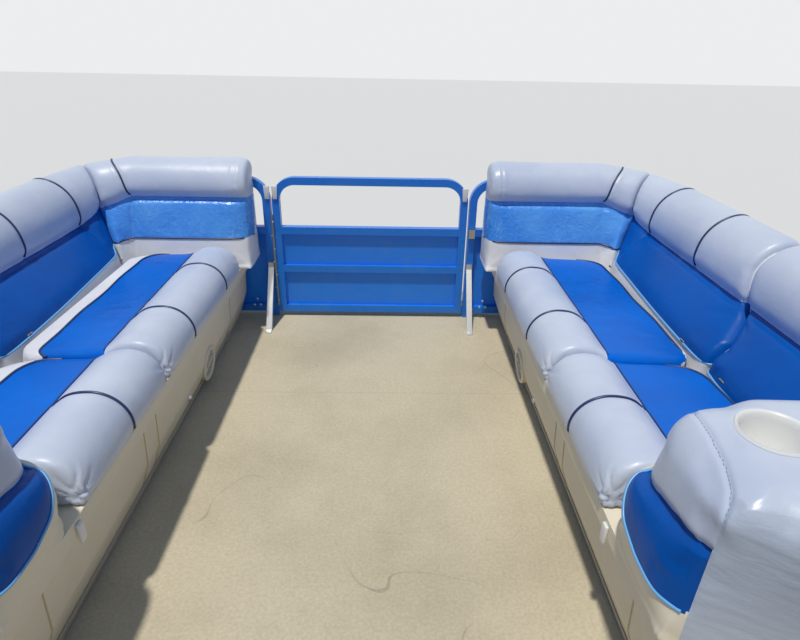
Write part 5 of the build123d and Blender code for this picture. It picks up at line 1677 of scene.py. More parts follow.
    def build(self) -> None:
        """Build both blocks, their welts and their sewn seams."""
        piece = soft_copy("armrests", "starboard_armrest", lambda place: place.x > 0)
        stuff(piece, self.padding, self.held, self.swept)
        self.drawn(piece)
        places, normals = points_of(piece), normals_of(piece)
        w = places[:, 2] - self.lines.deck
        q = self.round_block(places)
        under = (np.abs(normals[:, 2]) < 0.85) & (places[:, 0] - places[:, 1] < -0.934) & (q < 0.20)
        from_tuck = np.where(under, np.abs(w - self.skirt_top(places[:, 1])), 1.0)
        groove(piece, from_tuck, *self.tuck_groove)
        seam = [Vector((x, y, self.lines.deck + z)) for x, y, z in self.seam_line]
        landed = [surface(piece).find_nearest(place)[0] for place in seam]
        groove(piece, distance_to(points_of(piece), landed), *self.seam_groove)
        valley = [place + Vector(self.valley_shift) for place in landed[3:7]]
        groove(piece, distance_to(points_of(piece), valley), *self.valley_groove)
        station, height, rise = self.tuck
        cut(piece, (0, station, self.lines.deck + height), (0, rise, 1))
        nose = self.seam_line[-1][:2]
        cut(piece, (*nose, 0), (1, -1, 0), lambda middle: middle.x < 0.62 and middle.y < 1.55)
        centres = face_centres(piece)
        w = centres[:, 2] - self.lines.deck
        q = self.round_block(centres)
        low = np.interp(q, *zip(*self.skirt_line))
        side = (centres[:, 0] - centres[:, 1] < nose[0] - nose[1]) & (q < 0.20)
        side &= centres[:, 0] < self.lines.fence_x - 0.35
        # blue: the skirt, dressed in the darker blue that is painted shade
        blue = side & (w < self.skirt_top(centres[:, 1])) & (w > low)
        shoulder = side & (w <= low)
        upright = np.abs(face_normals(piece)[:, 2]) < 0.75
        # drawn: the aft upright faces, in the wrinkled grey whose darker tone is painted shade
        drawn = (centres[:, 0] - centres[:, 1] >= nose[0] - nose[1]) & upright
        dress(piece, GREY_VINYL, SHADED_BLUE_VINYL, CREAM_PLASTIC, DRAWN_VINYL_PAINTED_SHADE)
        paint_faces(piece, np.where(blue, 1, np.where(shoulder, 2, np.where(drawn, 3, 0))))
        cord = self.skirt_welt(piece)
        stitches = self.stitches(piece, landed[:7])
        for cover in both_sides(piece):
            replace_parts(rest_on(smooth_all(cover), "hull", "seat_vinyl"), "armrests")
        for item, finish in ((cord, SKY_PIPING), (stitches, THREAD)):
            for side_piece in both_sides(item):
                rest_on(side_piece, "hull", "seat_vinyl", finish)

    def skirt_welt(self, piece: bpy.types.Object) -> bpy.types.Object:
        """Lay the welt along the skirt's lower edge."""
        x, y = self.pivot
        rays = []
        for q in np.linspace(self.skirt_aft + 0.001, 0.140, 52):
            height = self.lines.deck + float(np.interp(q, *zip(*self.skirt_line)))
            turn = max(0.0, q / self.corner)
            rays.append((Vector((x, y + min(q, 0.0), height)), Vector((-math.cos(turn), math.sin(turn), 0))))
        return welt("starboard_armrest_welt", trace(surface(piece), rays, 0.0010), 0.0030)

    def stitches(self, piece: bpy.types.Object, seam: Sequence[Vector]) -> bpy.types.Object:
        """Sew the corner seam: one short stitch every eight millimetres, drawn larger than thread to show."""
        tree = surface(piece)
        threads = []
        for start, stop in zip(seam[:-1], seam[1:]):
            steps = max(1, round((stop - start).length / 0.008))
            for step in range(steps):
                first, last = (start.lerp(stop, (step + share) / steps) for share in (0.15, 0.75))
                middle, normal, _, _ = tree.find_nearest((first + last) / 2)
                if middle is not None and (last - first).length > 0.001:
                    threads.append(
                        add_rod("stitch", middle + normal * 0.0002, last - first, 0.0005, 0.0050, 6))
        return join("starboard_armrest_stitches", threads)


@dataclass
class CupHolders:
    """The injected white cups let into the armrests: a thin rolled rim over a smooth tapered bowl."""

    lines: Lines
    rim: float = 0.0600
    mouth: float = 0.0530
    floor: float = 0.0400
    sides: int = 72

    def build(self) -> None:
        """Spin the bowl's section and seat one in each armrest."""
        low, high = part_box("cup_holders")
        x, y = self.lines.cup
        top = high.z
        bowl = ((self.floor * 0.5, low.z + 0.004), (self.floor, low.z + 0.004),
                (self.floor + 0.004, low.z + 0.010), (self.mouth - 0.003, top - 0.012))
        lip = ((self.mouth, top - 0.004), (self.mouth + 0.002, top - 0.001), (self.mouth + 0.0045, top),
               (self.rim - 0.002, top - 0.001), (self.rim, top - 0.0035), (self.rim - 0.001, top - 0.0055))
        rows = bowl + lip
        deselect()
        bpy.ops.mesh.primitive_circle_add(
            vertices=self.sides, radius=rows[0][0], fill_type="NGON", location=(x, y, rows[0][1]))
        piece = settle(named("starboard_cup_holder"))
        edit("EDGE")
        bpy.ops.mesh.select_all(action="SELECT")
        radius, level = rows[0]
        for next_radius, next_level in rows[1:]:
            bpy.ops.mesh.extrude_edges_move(TRANSFORM_OT_translate={"value": (0, 0, next_level - level)})
            scale = next_radius / radius
            bpy.ops.transform.resize(value=(scale, scale, 1), center_override=(x, y, next_level))
            bpy.ops.mesh.select_all(action="DESELECT")
            radius, level = next_radius, next_level
            select_edges(piece, lambda *ends: all(
                abs(end.z - level) < 1e-5 and abs(math.hypot(end.x - x, end.y - y) - radius) < 1e-4
                for end in ends))
        bpy.ops.mesh.select_all(action="SELECT")
        bpy.ops.mesh.normals_make_consistent(inside=False)
        bpy.ops.object.mode_set(mode="OBJECT")
        apply(piece, "SOLIDIFY", thickness=0.0015, offset=0)
        for cup in both_sides(piece):
            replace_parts(rest_on(smooth(cup, 50), "hull", "white_plastic", WHITE_PLASTIC), "cup_holders")


def studs(
    name: str, seats: Sequence[tuple[Vector, Vector]], radius: float, height: float, sides: int = 10,
) -> bpy.types.Object:
    """Make a row of domed heads of rivets, screws or bolts.

    Args:
        name: name of the joined piece.
        seats: place of each on its surface, and the way it faces.
        radius: radius of a head.
        height: height of a head.
        sides: number of sides of a head.

    Returns:
        The heads as one object.
    """
    model = add_rod(name + "_model", (0, 0, height / 2 - 0.0004), UP, radius, height + 0.0008, sides)
    edit("EDGE")
    select_edges(model, lambda one, two: one.z > 0 and two.z > 0)
    bpy.ops.mesh.bevel(offset=min(radius, height) * 0.75, segments=2, affect="EDGES")
    bpy.ops.object.mode_set(mode="OBJECT")
    copies = []
    for number, (place, way) in enumerate(seats):
        turn = way.normalized().to_track_quat("Z", "Y").to_matrix().to_4x4()
        copies.append(duplicate(model, f"{name}_{number}", Matrix.Translation(place) @ turn))
    bpy.data.objects.remove(model)
    return smooth(join(name, copies), 50)


def tube_along(
    name: str, points: Sequence[Sequence[float]], radius: float, closed: bool = False,
) -> bpy.types.Object:
    """Make a bead of weld, gasket or wire along points, round to its start where it is closed."""
    return smooth(cord_along(name, points, radius, 2, closed), 60)


def corners_of(node: str, test: Callable[[Vector], bool]) -> tuple[Vector, Vector]:
    """Lowest and highest corner of the part of a CAD node whose vertices the test accepts."""
    places = [vertex.co for vertex in bpy.data.objects[node].data.vertices if test(vertex.co)]
    return (Vector([min(place[axis] for place in places) for axis in range(3)]),
            Vector([max(place[axis] for place in places) for axis in range(3)]))


@dataclass
class GateFittings:
    """What is screwed to the bow gate and its posts: bumpers, hinge rivets, brace and panel bolts."""

    lines: Lines
    bumper: tuple[float, float, float] = (0.026, 0.006, 0.056)
    bumper_height: float = 0.577
    bumper_taper: float = 0.70
    rivet_step: float = 0.055
    rivet_stagger: float = 0.004
    # Panel bolts: out from the middle, height over deck
    bolt_places: Sequence[tuple[float, float]] = ((0.531, 0.062), (0.504, 0.062), (0.516, 0.092))

    def build(self) -> None:
        """Build the fittings of the bow gate."""
        self.bumpers()
        self.hinge_rivets()
        self.bolts()

    def bumpers(self) -> None:
        """Tapered white pads where gate and posts meet when the gate shuts."""
        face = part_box("bow_gate_frame")[0].y
        post = corners_of("bow_fence_frames", lambda place: place.y > face - 0.01 and 0.3 < place.x < 0.6
                          and place.z < self.lines.deck + 0.5)[0].x
        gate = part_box("bow_gate_frame")[1].x
        for name, x, body in (
            ("port_post_bumper", -post - 0.010, "hull"), ("port_gate_bumper", -gate + 0.015, "bow_gate"),
            ("starboard_gate_bumper", gate - 0.015, "bow_gate"),
        ):
            middle = (x, face - self.bumper[1] / 2, self.lines.deck + self.bumper_height)
            pad = add_block(name, middle, self.bumper)
            edit("FACE")
            select_faces(pad, lambda side: side.normal.z < -0.9)
            bpy.ops.transform.resize(value=(self.bumper_taper, 1, 1), center_override=middle)
            bpy.ops.object.mode_set(mode="OBJECT")
            soften(pad, 0.0022, 3)
            rest_on(smooth(pad), body, "white_plastic", WHITE_PLASTIC)

    def hinge_rivets(self) -> None:
        """Rivets of the bow gate's piano hinge, one row on each leaf."""
        low, high = corners_of("gate_hinges", lambda place: place.y > 3)
        seats = []
        rows = int((high.z - low.z) / self.rivet_step)
        for number in range(rows):
            z = low.z + (number + 0.5) * (high.z - low.z) / rows
            x, aside = (low.x + high.x) / 2, self.rivet_stagger * (-1) ** number
            seats += [(Vector((x + aside, low.y, z)), -FORWARD), (Vector((x - aside, high.y, z)), FORWARD)]
        rest_on(studs("hinge_rivets", seats, 0.0032, 0.0018), "hull", "stainless", STAINLESS)

    def bolts(self) -> None:
        """Bolt heads at the braces and along the foot of the fence panels beside the gate."""
        face = corners_of("fence_panels", lambda place: place.y > 3.3)[0].y
        seats = []
        for side in (-1, 1):
            for x, height in self.bolt_places:
                seats.append((Vector((side * x, face, self.lines.deck + height)), -FORWARD))
            low, high = corners_of("gate_braces", lambda place: place.x * side > 0)
            x = (low.x + high.x) / 2
            seats.append((Vector((x, high.y - 0.0035, high.z - 0.030)), Vector((0, -1, 0.2))))
            seats.append((Vector((x, low.y + 0.012, low.z + 0.004)), Vector((0, -0.3, 1))))
        rest_on(studs("brace_bolts", seats, 0.0060, 0.0035, 12), "hull", "stainless", STAINLESS)


@dataclass
class LoungeTrim:
    """Trim on the seat bases: kick strips, moulded seams, speaker rings, latch knobs and corner tabs."""

    lines: Lines
    kick_height: float = 0.042
    kick_thick: float = 0.0045
    seam_heights: Sequence[float] = (0.046, 0.085, 0.119, 0.124, 0.180, 0.233, 0.240, 0.256)
    seam_radius: float = 0.0022
    housing_radius: float = 0.0640
    housing_depth: float = 0.036
    ring_radius: float = 0.0590
    ring_wire: float = 0.0065
    slot_pitch: float = 0.0085
    slot_radius: float = 0.048
    # Share of the CAD's clip block that a real clip fills along each axis
    clip_shares: tuple[float, float, float] = (0.55, 0.55, 0.45)
    pin_radius: float = 0.0018
    seam_stations: Sequence[float] = (3.020, 2.215, 2.130, 1.640)
    # Base's inner side: distance inboard of the fence line, height over deck
    profile: Sequence[tuple[float, float]] = ((0.642, 0.0), (0.684, 0.120), (0.691, 0.235), (0.718, 0.262))

    def build(self) -> None:
        """Build the trim of both lounge bases."""
        strips = self.kick_strips()
        rest_on(smooth(strips), "hull", "base_plastic", MouldedPlastic(
            "extruded_vinyl_kick_strip", "B4AD9F", 0.55, ior=1.53, weathered_colour="8C8678",
            weather_foot=0.775, weather_top=0.82))
        rest_on(self.seams(), "hull", "base_plastic", MouldedPlastic(
            "parting_line_polyethylene", "BFB390", 0.55, ior=1.51, weather_share=0.1))
        self.speakers()
        self.hinge_clips()
        self.knobs()

    def at(self, side: int, y: float, height: float, proud: float) -> Vector:
        """Place on a base's inner side."""
        inner = float(np.interp(height, [row[1] for row in self.profile], [row[0] for row in self.profile]))
        return Vector((side * (self.lines.fence_x - inner - proud), y, self.lines.deck + height))

    def kick_strips(self) -> bpy.types.Object:
        """Extruded strip along each base's foot."""
        low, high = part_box("lounge_bases")
        strips = []
        for side in (-1, 1):
            strip = add_block("kick", (side * 0.6, (low.y + high.y - 0.24) / 2, self.lines.deck + 0.021),
                              (0.004, high.y - low.y - 0.26, self.kick_height))
            places = points_of(strip)
            for number, place in enumerate(places):
                height = 0.0012 if place[2] < self.lines.deck + 0.02 else self.kick_height
                proud = self.kick_thick if place[0] * side < 0.6 else 0.0003
                places[number] = self.at(side, place[1], height, proud)
            put_points(strip, places)
            strips.append(soften(strip, 0.0015, 2))
        return join("kick_strips", strips)

    def seams(self) -> bpy.types.Object:
        """Raised parting lines where the moulded base sections meet."""
        beads = []
        for side in (-1, 1):
            for number, y in enumerate(self.seam_stations):
                points = [self.at(side, y, height, 0.0) for height in self.seam_heights]
                beads.append(tube_along(f"seam_{side}_{number}", points, self.seam_radius))
        return join("base_parting_lines", beads)

    def speakers(self) -> None:
        """Moulded housing, slotted grille, raised ring and cross bar of each speaker, upright on the base."""
        for side, word in ((-1, "port"), (1, "starboard")):
            low, high = corners_of("speaker_grilles", lambda place: place.x * side > 0)
            middle = (low + high) / 2 + Vector((-side * 0.001, 0, 0))
            way = Vector((-side, 0, -0.13)).normalized()
            up = FORWARD.cross(way) * side
            housing = add_rod("housing", middle - way * self.housing_depth / 2, way, self.housing_radius,
                              self.housing_depth, 64)
            ring = tube_along("ring", [
                middle + (FORWARD * math.cos(turn) + up * math.sin(turn)) * self.ring_radius
                for turn in round_turns(64)], self.ring_wire, closed=True)
            bar = add_rod("bar", middle + way * 0.001, FORWARD + up * 0.35, 0.0030, 0.112, 8)
            body = soften(join(f"{word}_speaker", [housing, ring, bar]), 0.0008, 1)
            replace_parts(rest_on(smooth(body, 50), "hull", "speaker_plastic", MouldedPlastic(
                f"injected_asa_{word}_speaker", "E2DBCA", 0.44, ior=1.52, weather_share=0.15)),
                "speaker_grilles")
            # The slots are thin rods across the grille's face in a dark colour: painted shade for the
            # openings
            slots = []
            for number in range(-5, 6):
                rise = number * self.slot_pitch
                reach = math.sqrt(self.slot_radius ** 2 - rise ** 2)
                slots.append(add_rod(
                    "slot", middle + up * rise - way * 0.0002, FORWARD, 0.0013, reach * 2, 6))
            rest_on(smooth(join(f"{word}_speaker_slots", slots), 50), "hull", "speaker_plastic", SLOT_SHADE)

    def hinge_clips(self) -> None:
        """Small moulded clips with a steel pin where seat and back meet, in place of the CAD's blocks."""
        blocks = duplicate(bpy.data.objects["seat_hinge_clips"], "clip_blocks", Matrix.Identity(4))
        activate(blocks)
        edit("FACE")
        bpy.ops.mesh.select_all(action="SELECT")
        bpy.ops.mesh.separate(type="LOOSE")
        bpy.ops.object.mode_set(mode="OBJECT")
        clips, pins = [], []
        for block in list(bpy.context.selected_objects):
            places = points_of(block)
            low, high = places.min(axis=0), places.max(axis=0)
            middle = (low + high) / 2
            size = (high - low) * self.clip_shares
            clips.append(soften(add_block("clip", (*middle[:2], low[2] + size[2] / 2), size), 0.0015, 2))
            pins.append(add_rod("pin", (*middle[:2], low[2] + size[2] * 0.72), FORWARD, self.pin_radius,
                                size[1] + 0.004, 10))
            bpy.data.objects.remove(block)
        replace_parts(rest_on(smooth(join("hinge_clips", clips)), "hull", "black_plastic", BLACK_PLASTIC),
                    "seat_hinge_clips")
        rest_on(smooth(join("hinge_clip_pins", pins), 50), "hull", "stainless", STAINLESS)

    def knobs(self) -> None:
        """Round latch knob aft of each speaker, and the cream tab under each rear cushion's front corner."""
        seats, tabs = [], []
        for side in (-1, 1):
            seats.append((self.at(side, 2.520, 0.072, 0.0), Vector((-side, 0, -0.33))))
            middle = self.at(side, 1.748, 0.268, 0.004)
            tab = add_block("tab", middle, (0.008, 0.020, 0.046))
            tabs.append(soften(tab, 0.003, 3))
        rest_on(studs("latch_knobs", seats, 0.0110, 0.0090, 20), "hull", "base_plastic", STAINLESS)
        rest_on(smooth(join("seat_tabs", tabs)), "hull", "white_plastic", WHITE_PLASTIC)


@dataclass
class OutsideTrim:
    """What shows from outside: sheet rivets, weld beads on the tubes, edge screws and the cowl's seam."""

    lines: Lines
    weld_stations: Sequence[float] = (-1.25, 0.20, 1.65, 3.107)
    weld_radius: float = 0.0040
    rivet_rows: tuple[float, float] = (0.848, 1.150)
    # Where rays start outside the fence and outside the deck's edge: abeam, ahead, astern
    off_fence: tuple[float, float, float] = (1.290, 3.380, -2.060)
    off_deck: tuple[float, float, float] = (1.330, 3.670, -2.500)
    screw_height: float = 0.727
    screw_step: float = 0.20
    gasket_drop: float = 0.105
    gasket_radius: float = 0.0042
    # Way from the cowl down the motor's leg, as the motor rests tilted up
    leg_way: Vector = field(default_factory=lambda: Vector((0, -1.035, -0.242)))

    def build(self) -> None:
        """Build the outside's fittings."""
        rest_on(self.sheet_rivets(), "hull", "fence_paint", Enamel(
            "baked_enamel_rivet", "2A86EA", 0.30, specular=0.4))
        rest_on(self.edge_screws(), "hull", "stainless", STAINLESS)
        rest_on(self.welds(), "hull", "hull_aluminium", RolledAluminium(
            "welded_bead_aluminium", "D2D4D5", 0.38, metallic=1.0, stretch=(1.0, 1.0, 1.0), line_mm=9.0))
        rest_on(self.cowl_seam(), "motor", "cowl_plastic", WHEEL_FOAM)

    def cast(
        self, node: str, rays: Sequence[tuple[Vector, Vector]], reach: float = 0.06,
    ) -> list[tuple[Vector, Vector]]:
        """Places on a CAD node's skin that rays from outside meet, each with the way it faces."""
        tree = surface(bpy.data.objects[node])
        seats = []
        for start, way in rays:
            place, normal, _, _ = tree.ray_cast(start, way, reach)
            if place is not None:
                facing = normal.dot(way)
                seats.append((place, -way if abs(facing) < 0.5 else -normal * math.copysign(1, facing)))
        return seats

    def sheet_rivets(self) -> bpy.types.Object:
        """Rivets along the top and foot of the fence's sheets."""
        abeam, ahead, astern = self.off_fence
        rays = []
        for z in self.rivet_rows:
            for side in (-1, 1):
                rays += [(Vector((side * abeam, y, z)), Vector((-side, 0, 0)))
                         for y in np.arange(-1.94, 3.06, 0.125)]
                rays += [(Vector((side * x, ahead, z)), -FORWARD) for x in np.arange(0.53, 0.95, 0.10)]
                rays += [(Vector((side * x, astern, z)), FORWARD) for x in np.arange(0.42, 1.10, 0.10)]
        return studs("sheet_rivets", self.cast("fence_panels", rays), 0.0042, 0.0020, 10)

    def edge_screws(self) -> bpy.types.Object:
        """Screws round the deck's edge trim."""
        abeam, ahead, astern = self.off_deck
        z = self.screw_height
        rays = []
        for side in (-1, 1):
            rays += [(Vector((side * abeam, y, z)), Vector((-side, 0, 0)))
                     for y in np.arange(-2.30, 3.45, self.screw_step)]
        for x in np.arange(-1.10, 1.11, self.screw_step):
            rays += [(Vector((x, ahead, z)), -FORWARD), (Vector((x, astern, z)), FORWARD)]
        return studs("edge_screws", self.cast("deck_edge_trim", rays), 0.0050, 0.0022, 10)

    def welds(self) -> bpy.types.Object:
        """Weld beads round the tubes where their lengths, noses and ends are joined."""
        beads = []
        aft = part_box("pontoon_tubes")[0].y
        for side in (-1, 1):
            low, high = corners_of("pontoon_tubes", lambda place: place.x * side > 0 and abs(place.y) < 3.0)
            radius = (high.x - low.x) / 2
            x = (low.x + high.x) / 2
            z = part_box("pontoon_tubes")[1].z - radius
            outer = [vertex.co.z for vertex in bpy.data.objects["pontoon_tubes"].data.vertices
                     if abs(abs(vertex.co.x) - max(abs(low.x), abs(high.x))) < 0.001]
            z = sum(outer) / len(outer) if outer else z
            for y in (aft + 0.008,) + tuple(self.weld_stations):
                circle = [(x + radius * math.cos(turn), y, z + radius * math.sin(turn))
                          for turn in round_turns(72)]
                beads.append(tube_along("bead", circle, self.weld_radius, closed=True))
        return join("tube_welds", beads)

    def cowl_seam(self) -> bpy.types.Object:
        """Rubber gasket round the cowl where its lid meets its pan."""
        low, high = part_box("motor_cowl")
        down = self.leg_way.normalized()
        middle = (low + high) / 2 + down * self.gasket_drop
        up = ACROSS.cross(down)
        rays = []
        for turn in round_turns(72):
            way = ACROSS * math.cos(turn) + up * math.sin(turn)
            rays.append((middle + way * 0.6, -way))
        points = [place for place, _ in self.cast("motor_cowl", rays, 0.6)]
        return tube_along("cowl_gasket", points, self.gasket_radius, closed=True)


@dataclass
class HelmTrim:
    """What the console's dash carries: dials with scales and needles, rocker switches, the ignition key."""

    middle: Vector = field(default_factory=lambda: Vector((0.860, 0.967, 1.6175)))
    normal: Vector = field(default_factory=lambda: Vector((0, -0.7844, 0.6202)))
    bezel: float = 0.008
    # Across and up the dash, radius, share of its sweep at which the needle rests
    dials: Sequence[tuple[float, float, float, float]] = (
        (-0.190, 0.062, 0.034, 0.02), (-0.190, -0.014, 0.034, 0.04), (-0.095, 0.088, 0.028, 0.70),
        (0.095, 0.088, 0.028, 0.52))
    switches: Sequence[float] = (-0.228, -0.203, -0.178, -0.153)
    switch_row: float = -0.078
    key_place: tuple[float, float] = (0.148, 0.096)
    # Degrees from which a dial's scale runs, how far it runs, and in how many steps
    scale_start: float = 225.0
    scale_sweep: float = 270.0
    scale_steps: int = 12

    def turn(self) -> Matrix:
        """Rotation from a level model to the dash."""
        return Matrix((ACROSS, self.normal.cross(ACROSS), self.normal)).transposed().to_4x4()

    def seat(self, across: float, up: float, proud: float) -> Matrix:
        """Where a level model stands on the dash."""
        place = self.middle + self.turn() @ Vector((across, up, proud))
        return Matrix.Translation(place) @ self.turn()

    def scale_way(self, share: float) -> Vector:
        """Way from a dial's middle to a share of its scale."""
        angle = math.radians(self.scale_start - self.scale_sweep * share)
        return Vector((math.cos(angle), math.sin(angle), 0))

    def build(self) -> None:
        """Build the dials, switches and key."""
        faces, rings, marks, needles, rockers, metal = [], [], [], [], [], []
        for number, (across, up, radius, share) in enumerate(self.dials):
            seat = self.seat(across, up, self.bezel)
            face = add_rod("face", (0, 0, 0), UP, radius - 0.004, 0.0012, 40)
            circle = [((radius - 0.003) * math.cos(turn), (radius - 0.003) * math.sin(turn), 0)
                      for turn in round_turns(48)]
            ring = tube_along("ring", circle, 0.0026, closed=True)
            ticks = []
            for step in range(self.scale_steps + 1):
                out = self.scale_way(step / self.scale_steps)
                length = 0.006 if step % 3 == 0 else 0.0035
                ticks.append(add_rod("tick", out * (radius - 0.0085) + UP * 0.0007, out, 0.0005, length, 6))
            out = self.scale_way(share)
            needle = add_rod("needle", out * radius * 0.28 + UP * 0.0018, out, 0.0007, radius * 0.76, 6)
            hub = add_rod("hub", UP * 0.0015, UP, 0.0032, 0.0030, 16)
            for piece, kept in ((face, faces), (hub, faces), (ring, rings), (join("ticks", ticks), marks),
                                (needle, needles)):
                kept.append(duplicate(piece, f"{piece.name}_{number}", seat))
                bpy.data.objects.remove(piece)
        for number, across in enumerate(self.switches):
            rocker = soften(add_block("rocker", (0, 0, 0.003), (0.015, 0.026, 0.008)), 0.0018, 2)
            rockers.append(duplicate(rocker, f"rocker_{number}", self.seat(across, self.switch_row, 0)))
            bpy.data.objects.remove(rocker)
        for part in (add_rod("barrel", (0, 0, 0.003), UP, 0.0110, 0.006, 28),
                     add_block("key", (0, 0, 0.014), (0.0030, 0.0180, 0.0160))):
            metal.append(duplicate(part, part.name + "_seated", self.seat(*self.key_place, 0)))
            bpy.data.objects.remove(part)
        rest_on(smooth(join("dial_faces", faces), 50), "hull", "black_plastic", DIAL_PAINT)
        rest_on(smooth(join("dial_rings", rings + metal), 50), "hull", "stainless", STAINLESS)
        rest_on(smooth(join("dial_marks", marks), 50), "hull", "white_plastic", WHITE_PLASTIC)
        rest_on(smooth(join("dial_needles", needles), 50), "hull", "white_plastic", NEEDLE_PAINT)
        rest_on(smooth(join("dash_switches", rockers)), "hull", "black_plastic", BLACK_PLASTIC)


@dataclass
class HelmChair:
    """The helm chair's seat and back, stuffed and covered as the lounges are."""

    padding: Padding = field(default_factory=lambda: Padding(voxel=0.010, cap=0.010))
    channel_half: float = 0.125

    def build(self) -> None:
        """Build the two pads with their middle channels."""
        self.pad("chair_seat", lambda places, low, high: places[:, 2] < high.z - 0.085)
        self.pad("chair_back", lambda places, low, high: places[:, 1] < low.y + 0.02)

    def pad(self, node: str, board: Callable[[np.ndarray, Vector, Vector], np.ndarray]) -> None:
        """Build one pad.

        Args:
            node: CAD node that it replaces.
            board: from places and the node's box, which vertices the board holds.
        """
        low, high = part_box(node)
        piece = soft_copy(node, node + "_cover", lambda place: True)
        middle = (low + high) / 2

        def from_seams(places: np.ndarray) -> np.ndarray:
            """Distance from the seams each side of the middle channel."""
            return np.abs(np.abs(places[:, 0] - middle.x) - self.channel_half)

        def held(places: np.ndarray, _: np.ndarray) -> np.ndarray:
            """Board and the seams each side of the middle channel."""
            grip = np.where(board(places, low, high), 1.0, 0.0)
            return np.maximum(grip, np.exp(-(from_seams(places) / 0.010) ** 2))

        stuff(piece, self.padding, held)
        places = points_of(piece)
        groove(piece, from_seams(places), 0.004, 0.009)
        centres = face_centres(piece)
        band = np.abs(centres[:, 0] - middle.x) < self.channel_half
        plate = centres[:, 2] < high.z - 0.112 if node == "chair_seat" else band & False
        dress(piece, GREY_VINYL, BLUE_VINYL, BLACK_PLASTIC)
        paint_faces(piece, np.where(plate, 2, np.where(band, 1, 0)))
        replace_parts(rest_on(smooth_all(piece), "helm_chair", "seat_vinyl"), node)


@dataclass
class Lounges:
    """Both side lounges and the stern benches: cushions, backs and armrests."""

    lines: Lines

    def build(self) -> None:
        """Build every soft piece of the seating."""
        lines = self.lines
        side, bow, stern = (SectionFrame(lines, run) for run in (Run.SIDE, Run.BOW, Run.STERN))
        bow_y = lines.fence_bow
        for stem, rings in (("front", (bow_y - 0.450, bow_y - 0.830)), ("rear", (bow_y - 1.310,))):
            low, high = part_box(f"starboard_{stem}_cushion")
            SeatCushion(
                f"starboard_{stem}_cushion", f"starboard_{stem}_lid", side, lines.fence_x - high.x, low.y,
                high.y, rings, f"port_{stem}_cushion", f"port_{stem}_lid",
                through=(stem == "front", stem == "rear")).build()
        low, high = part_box("starboard_bench_cushion")
        span = high.x - low.x
        SeatCushion(
            "starboard_bench_cushion", "starboard_bench_lid", stern, low.y - lines.fence_stern, low.x, high.x,
            (low.x + span / 3, low.x + 2 * span / 3), "port_bench_cushion", "port_bench_lid").build()
        x, y = lines.corner
        inner = corners_of("bow_backs", lambda place: place.x > 0)[0].x
        SeatBack("bow_backs", "bow_back", bow, BOW_ROW, inner, x, ((x - inner + 0.010, 0.098),), bend=True,
                 plain_seams=(0.052,), panel_finish=CRAZED_VINYL_PAINTED_GLARE, panel_ends=(0.0, 0.0),
                 panel_corners=(0.0, 0.0)).build(lambda place: place.x > 0)
        cushion_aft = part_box("starboard_rear_cushion")[0].y
        joint = bow_y - 0.970
        SeatBack("side_backs", "front_side_back", side, SIDE_ROW, joint + 0.0025, y,
                 ((0.300, 0.0), (y - joint - 0.006, 0.0)), bend=True, panel_ends=(0.0, 0.0),
                 panel_corners=(0.012, 0.0), lower_welt=SKY_PIPING, edge_rise=(-0.034, 0.052),
                 square_end=0.026, end_shear=0.100,
                 ).build(lambda place: place.x > 0 and place.y > joint)
        SeatBack("side_backs", "rear_side_back", side, SIDE_ROW, joint - 0.0025, cushion_aft, ((0.290, 0.0),),
                 panel_ends=(0.0, 0.012), panel_corners=(0.020, 0.050), lower_welt=SKY_PIPING,
                 edge_rise=(-0.042, 0.0), square_end=0.026, end_shear=0.099,
                 ).build(lambda place: place.x > 0 and place.y < joint)
        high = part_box("bench_backs")[1]
        inner = corners_of("bench_backs", lambda place: place.x > 0)[0].x
        SeatBack("bench_backs", "bench_back", stern, STERN_ROW, inner, high.x, ((0.21, 0.0), (0.45, 0.0)),
                 panel_ends=(0.014, 0.014), panel_corners=(0.060, 0.060)).build(lambda place: place.x > 0)
        Armrest(lines).build()
        CupHolders(lines).build()
        LoungeTrim(lines).build()
        HelmChair().build()


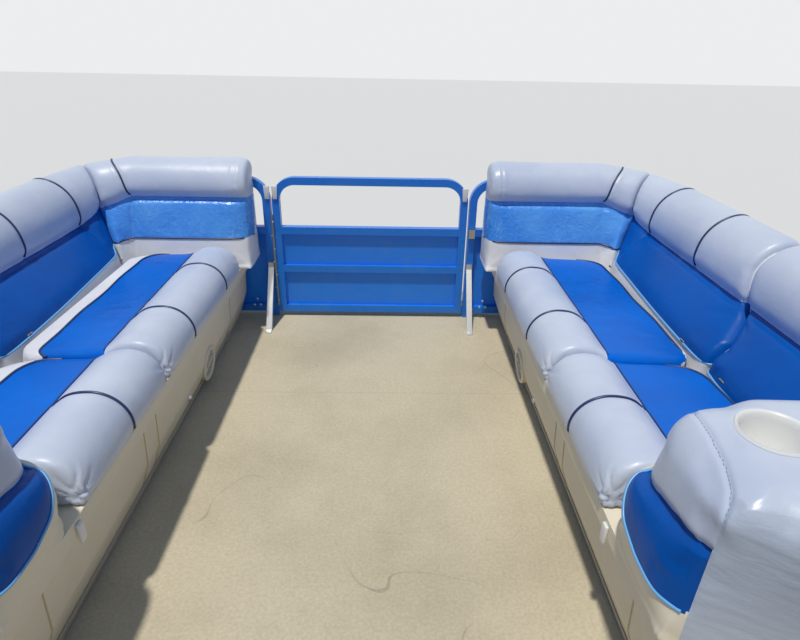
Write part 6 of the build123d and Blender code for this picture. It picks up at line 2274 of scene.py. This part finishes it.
@dataclass
class Studio:
    """Camera at the photograph's viewing angle, pale floor at the waterline and soft light."""

    lines: Lines
    lens: float = 25.875
    station: tuple[float, float, float] = (0.083, -2.45, 1.940)
    pitch: float = 0.4522
    yaw: float = 0.0225
    roll: float = 0.0203
    waterline: float = 0.330
    floor_colour: str = "DADAD8"
    sun_from: tuple[float, float, float] = (-0.16, -0.25, 1.0)
    sun_strength: float = 2.75
    sun_colour: tuple[float, float, float] = (1.0, 0.955, 0.86)
    sun_width: float = 0.05
    # The sky's fill light, and the sky as the camera and mirror-like surfaces see it
    sky_strength: float = 0.31
    sky_fill: str = "B4D2FF"
    seen_strength: float = 0.92
    seen_sky: str = "F4F6F8"

    def camera(self) -> None:
        """Create the camera and make it the scene's."""
        data = bpy.data.cameras.new("view")
        data.lens = self.lens
        data.sensor_width = 36
        data.clip_start = 0.01
        data.clip_end = 200
        camera = bpy.data.objects.new("view", data)
        bpy.context.collection.objects.link(camera)
        x, back, z = self.station
        camera.matrix_world = (
            Matrix.Translation((x, self.lines.fence_bow + back, z))
            @ Matrix.Rotation(-self.yaw, 4, "Z")
            @ Matrix.Rotation(math.pi / 2 - self.pitch, 4, "X")
            @ Matrix.Rotation(self.roll, 4, "Z")
        )
        bpy.context.scene.camera = camera

    def floor(self) -> None:
        """Lay the plain floor at the waterline."""
        deselect()
        bpy.ops.mesh.primitive_plane_add(size=60, location=(0, 0, self.waterline))
        floor = settle(named("floor"))
        material = bpy.data.materials.new("matte_painted_floor")
        material.use_nodes = True
        shader = material.node_tree.nodes["Principled BSDF"]
        shader.inputs["Base Color"].default_value = linear(self.floor_colour)
        shader.inputs["Roughness"].default_value = 0.9
        floor.data.materials.append(material)

    def light(self) -> None:
        """Set a broad high key light and an even pale surround."""
        data = bpy.data.lights.new("key", "SUN")
        data.energy = self.sun_strength
        data.color = self.sun_colour
        data.angle = self.sun_width
        key = bpy.data.objects.new("key", data)
        key.rotation_mode = "QUATERNION"
        key.rotation_quaternion = Vector(self.sun_from).to_track_quat("Z", "Y")
        bpy.context.collection.objects.link(key)
        world = bpy.data.worlds.new("surround")
        bpy.context.scene.world = world
        world.use_nodes = True
        tree = world.node_tree
        tree.nodes.clear()
        path = add_node(tree, "ShaderNodeLightPath")
        seen = add_node(tree, "ShaderNodeMath", {
            0: path.outputs["Is Camera Ray"], 1: path.outputs["Is Glossy Ray"]}, operation="MAXIMUM")
        shown = add_node(tree, "ShaderNodeMath", {
            0: seen.outputs[0], 1: path.outputs["Is Transmission Ray"]}, operation="MAXIMUM")
        strength = add_node(tree, "ShaderNodeMapRange", {
            "Value": shown.outputs[0], "To Min": self.sky_strength, "To Max": self.seen_strength})
        colour = add_node(tree, "ShaderNodeMix", {
            "Factor": shown.outputs[0], 6: linear(self.sky_fill), 7: linear(self.seen_sky)}, data_type="RGBA")
        sky = add_node(tree, "ShaderNodeBackground", {
            "Color": colour.outputs[2], "Strength": strength.outputs["Result"]})
        add_node(tree, "ShaderNodeOutputWorld", {"Surface": sky.outputs["Background"]})

    def build(self) -> None:
        """Set the whole studio."""
        self.camera()
        self.floor()
        self.light()
        bpy.context.scene.view_settings.view_transform = "Standard"


def main() -> None:
    """Build the scene in order and report each piece."""
    logging.basicConfig(level=logging.INFO, format="%(message)s")
    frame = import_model()
    deselect()
    for node, holder in frame["nodes"].items():
        known = NodeFinish.__members__.get(node)
        if known is not None:
            dress(holder, known.value)
    lines = Lines.read()
    Studio(lines).build()
    Lounges(lines).build()
    GateFittings(lines).build()
    OutsideTrim(lines).build()
    HelmTrim().build()


if __name__ == "__main__":
    main()
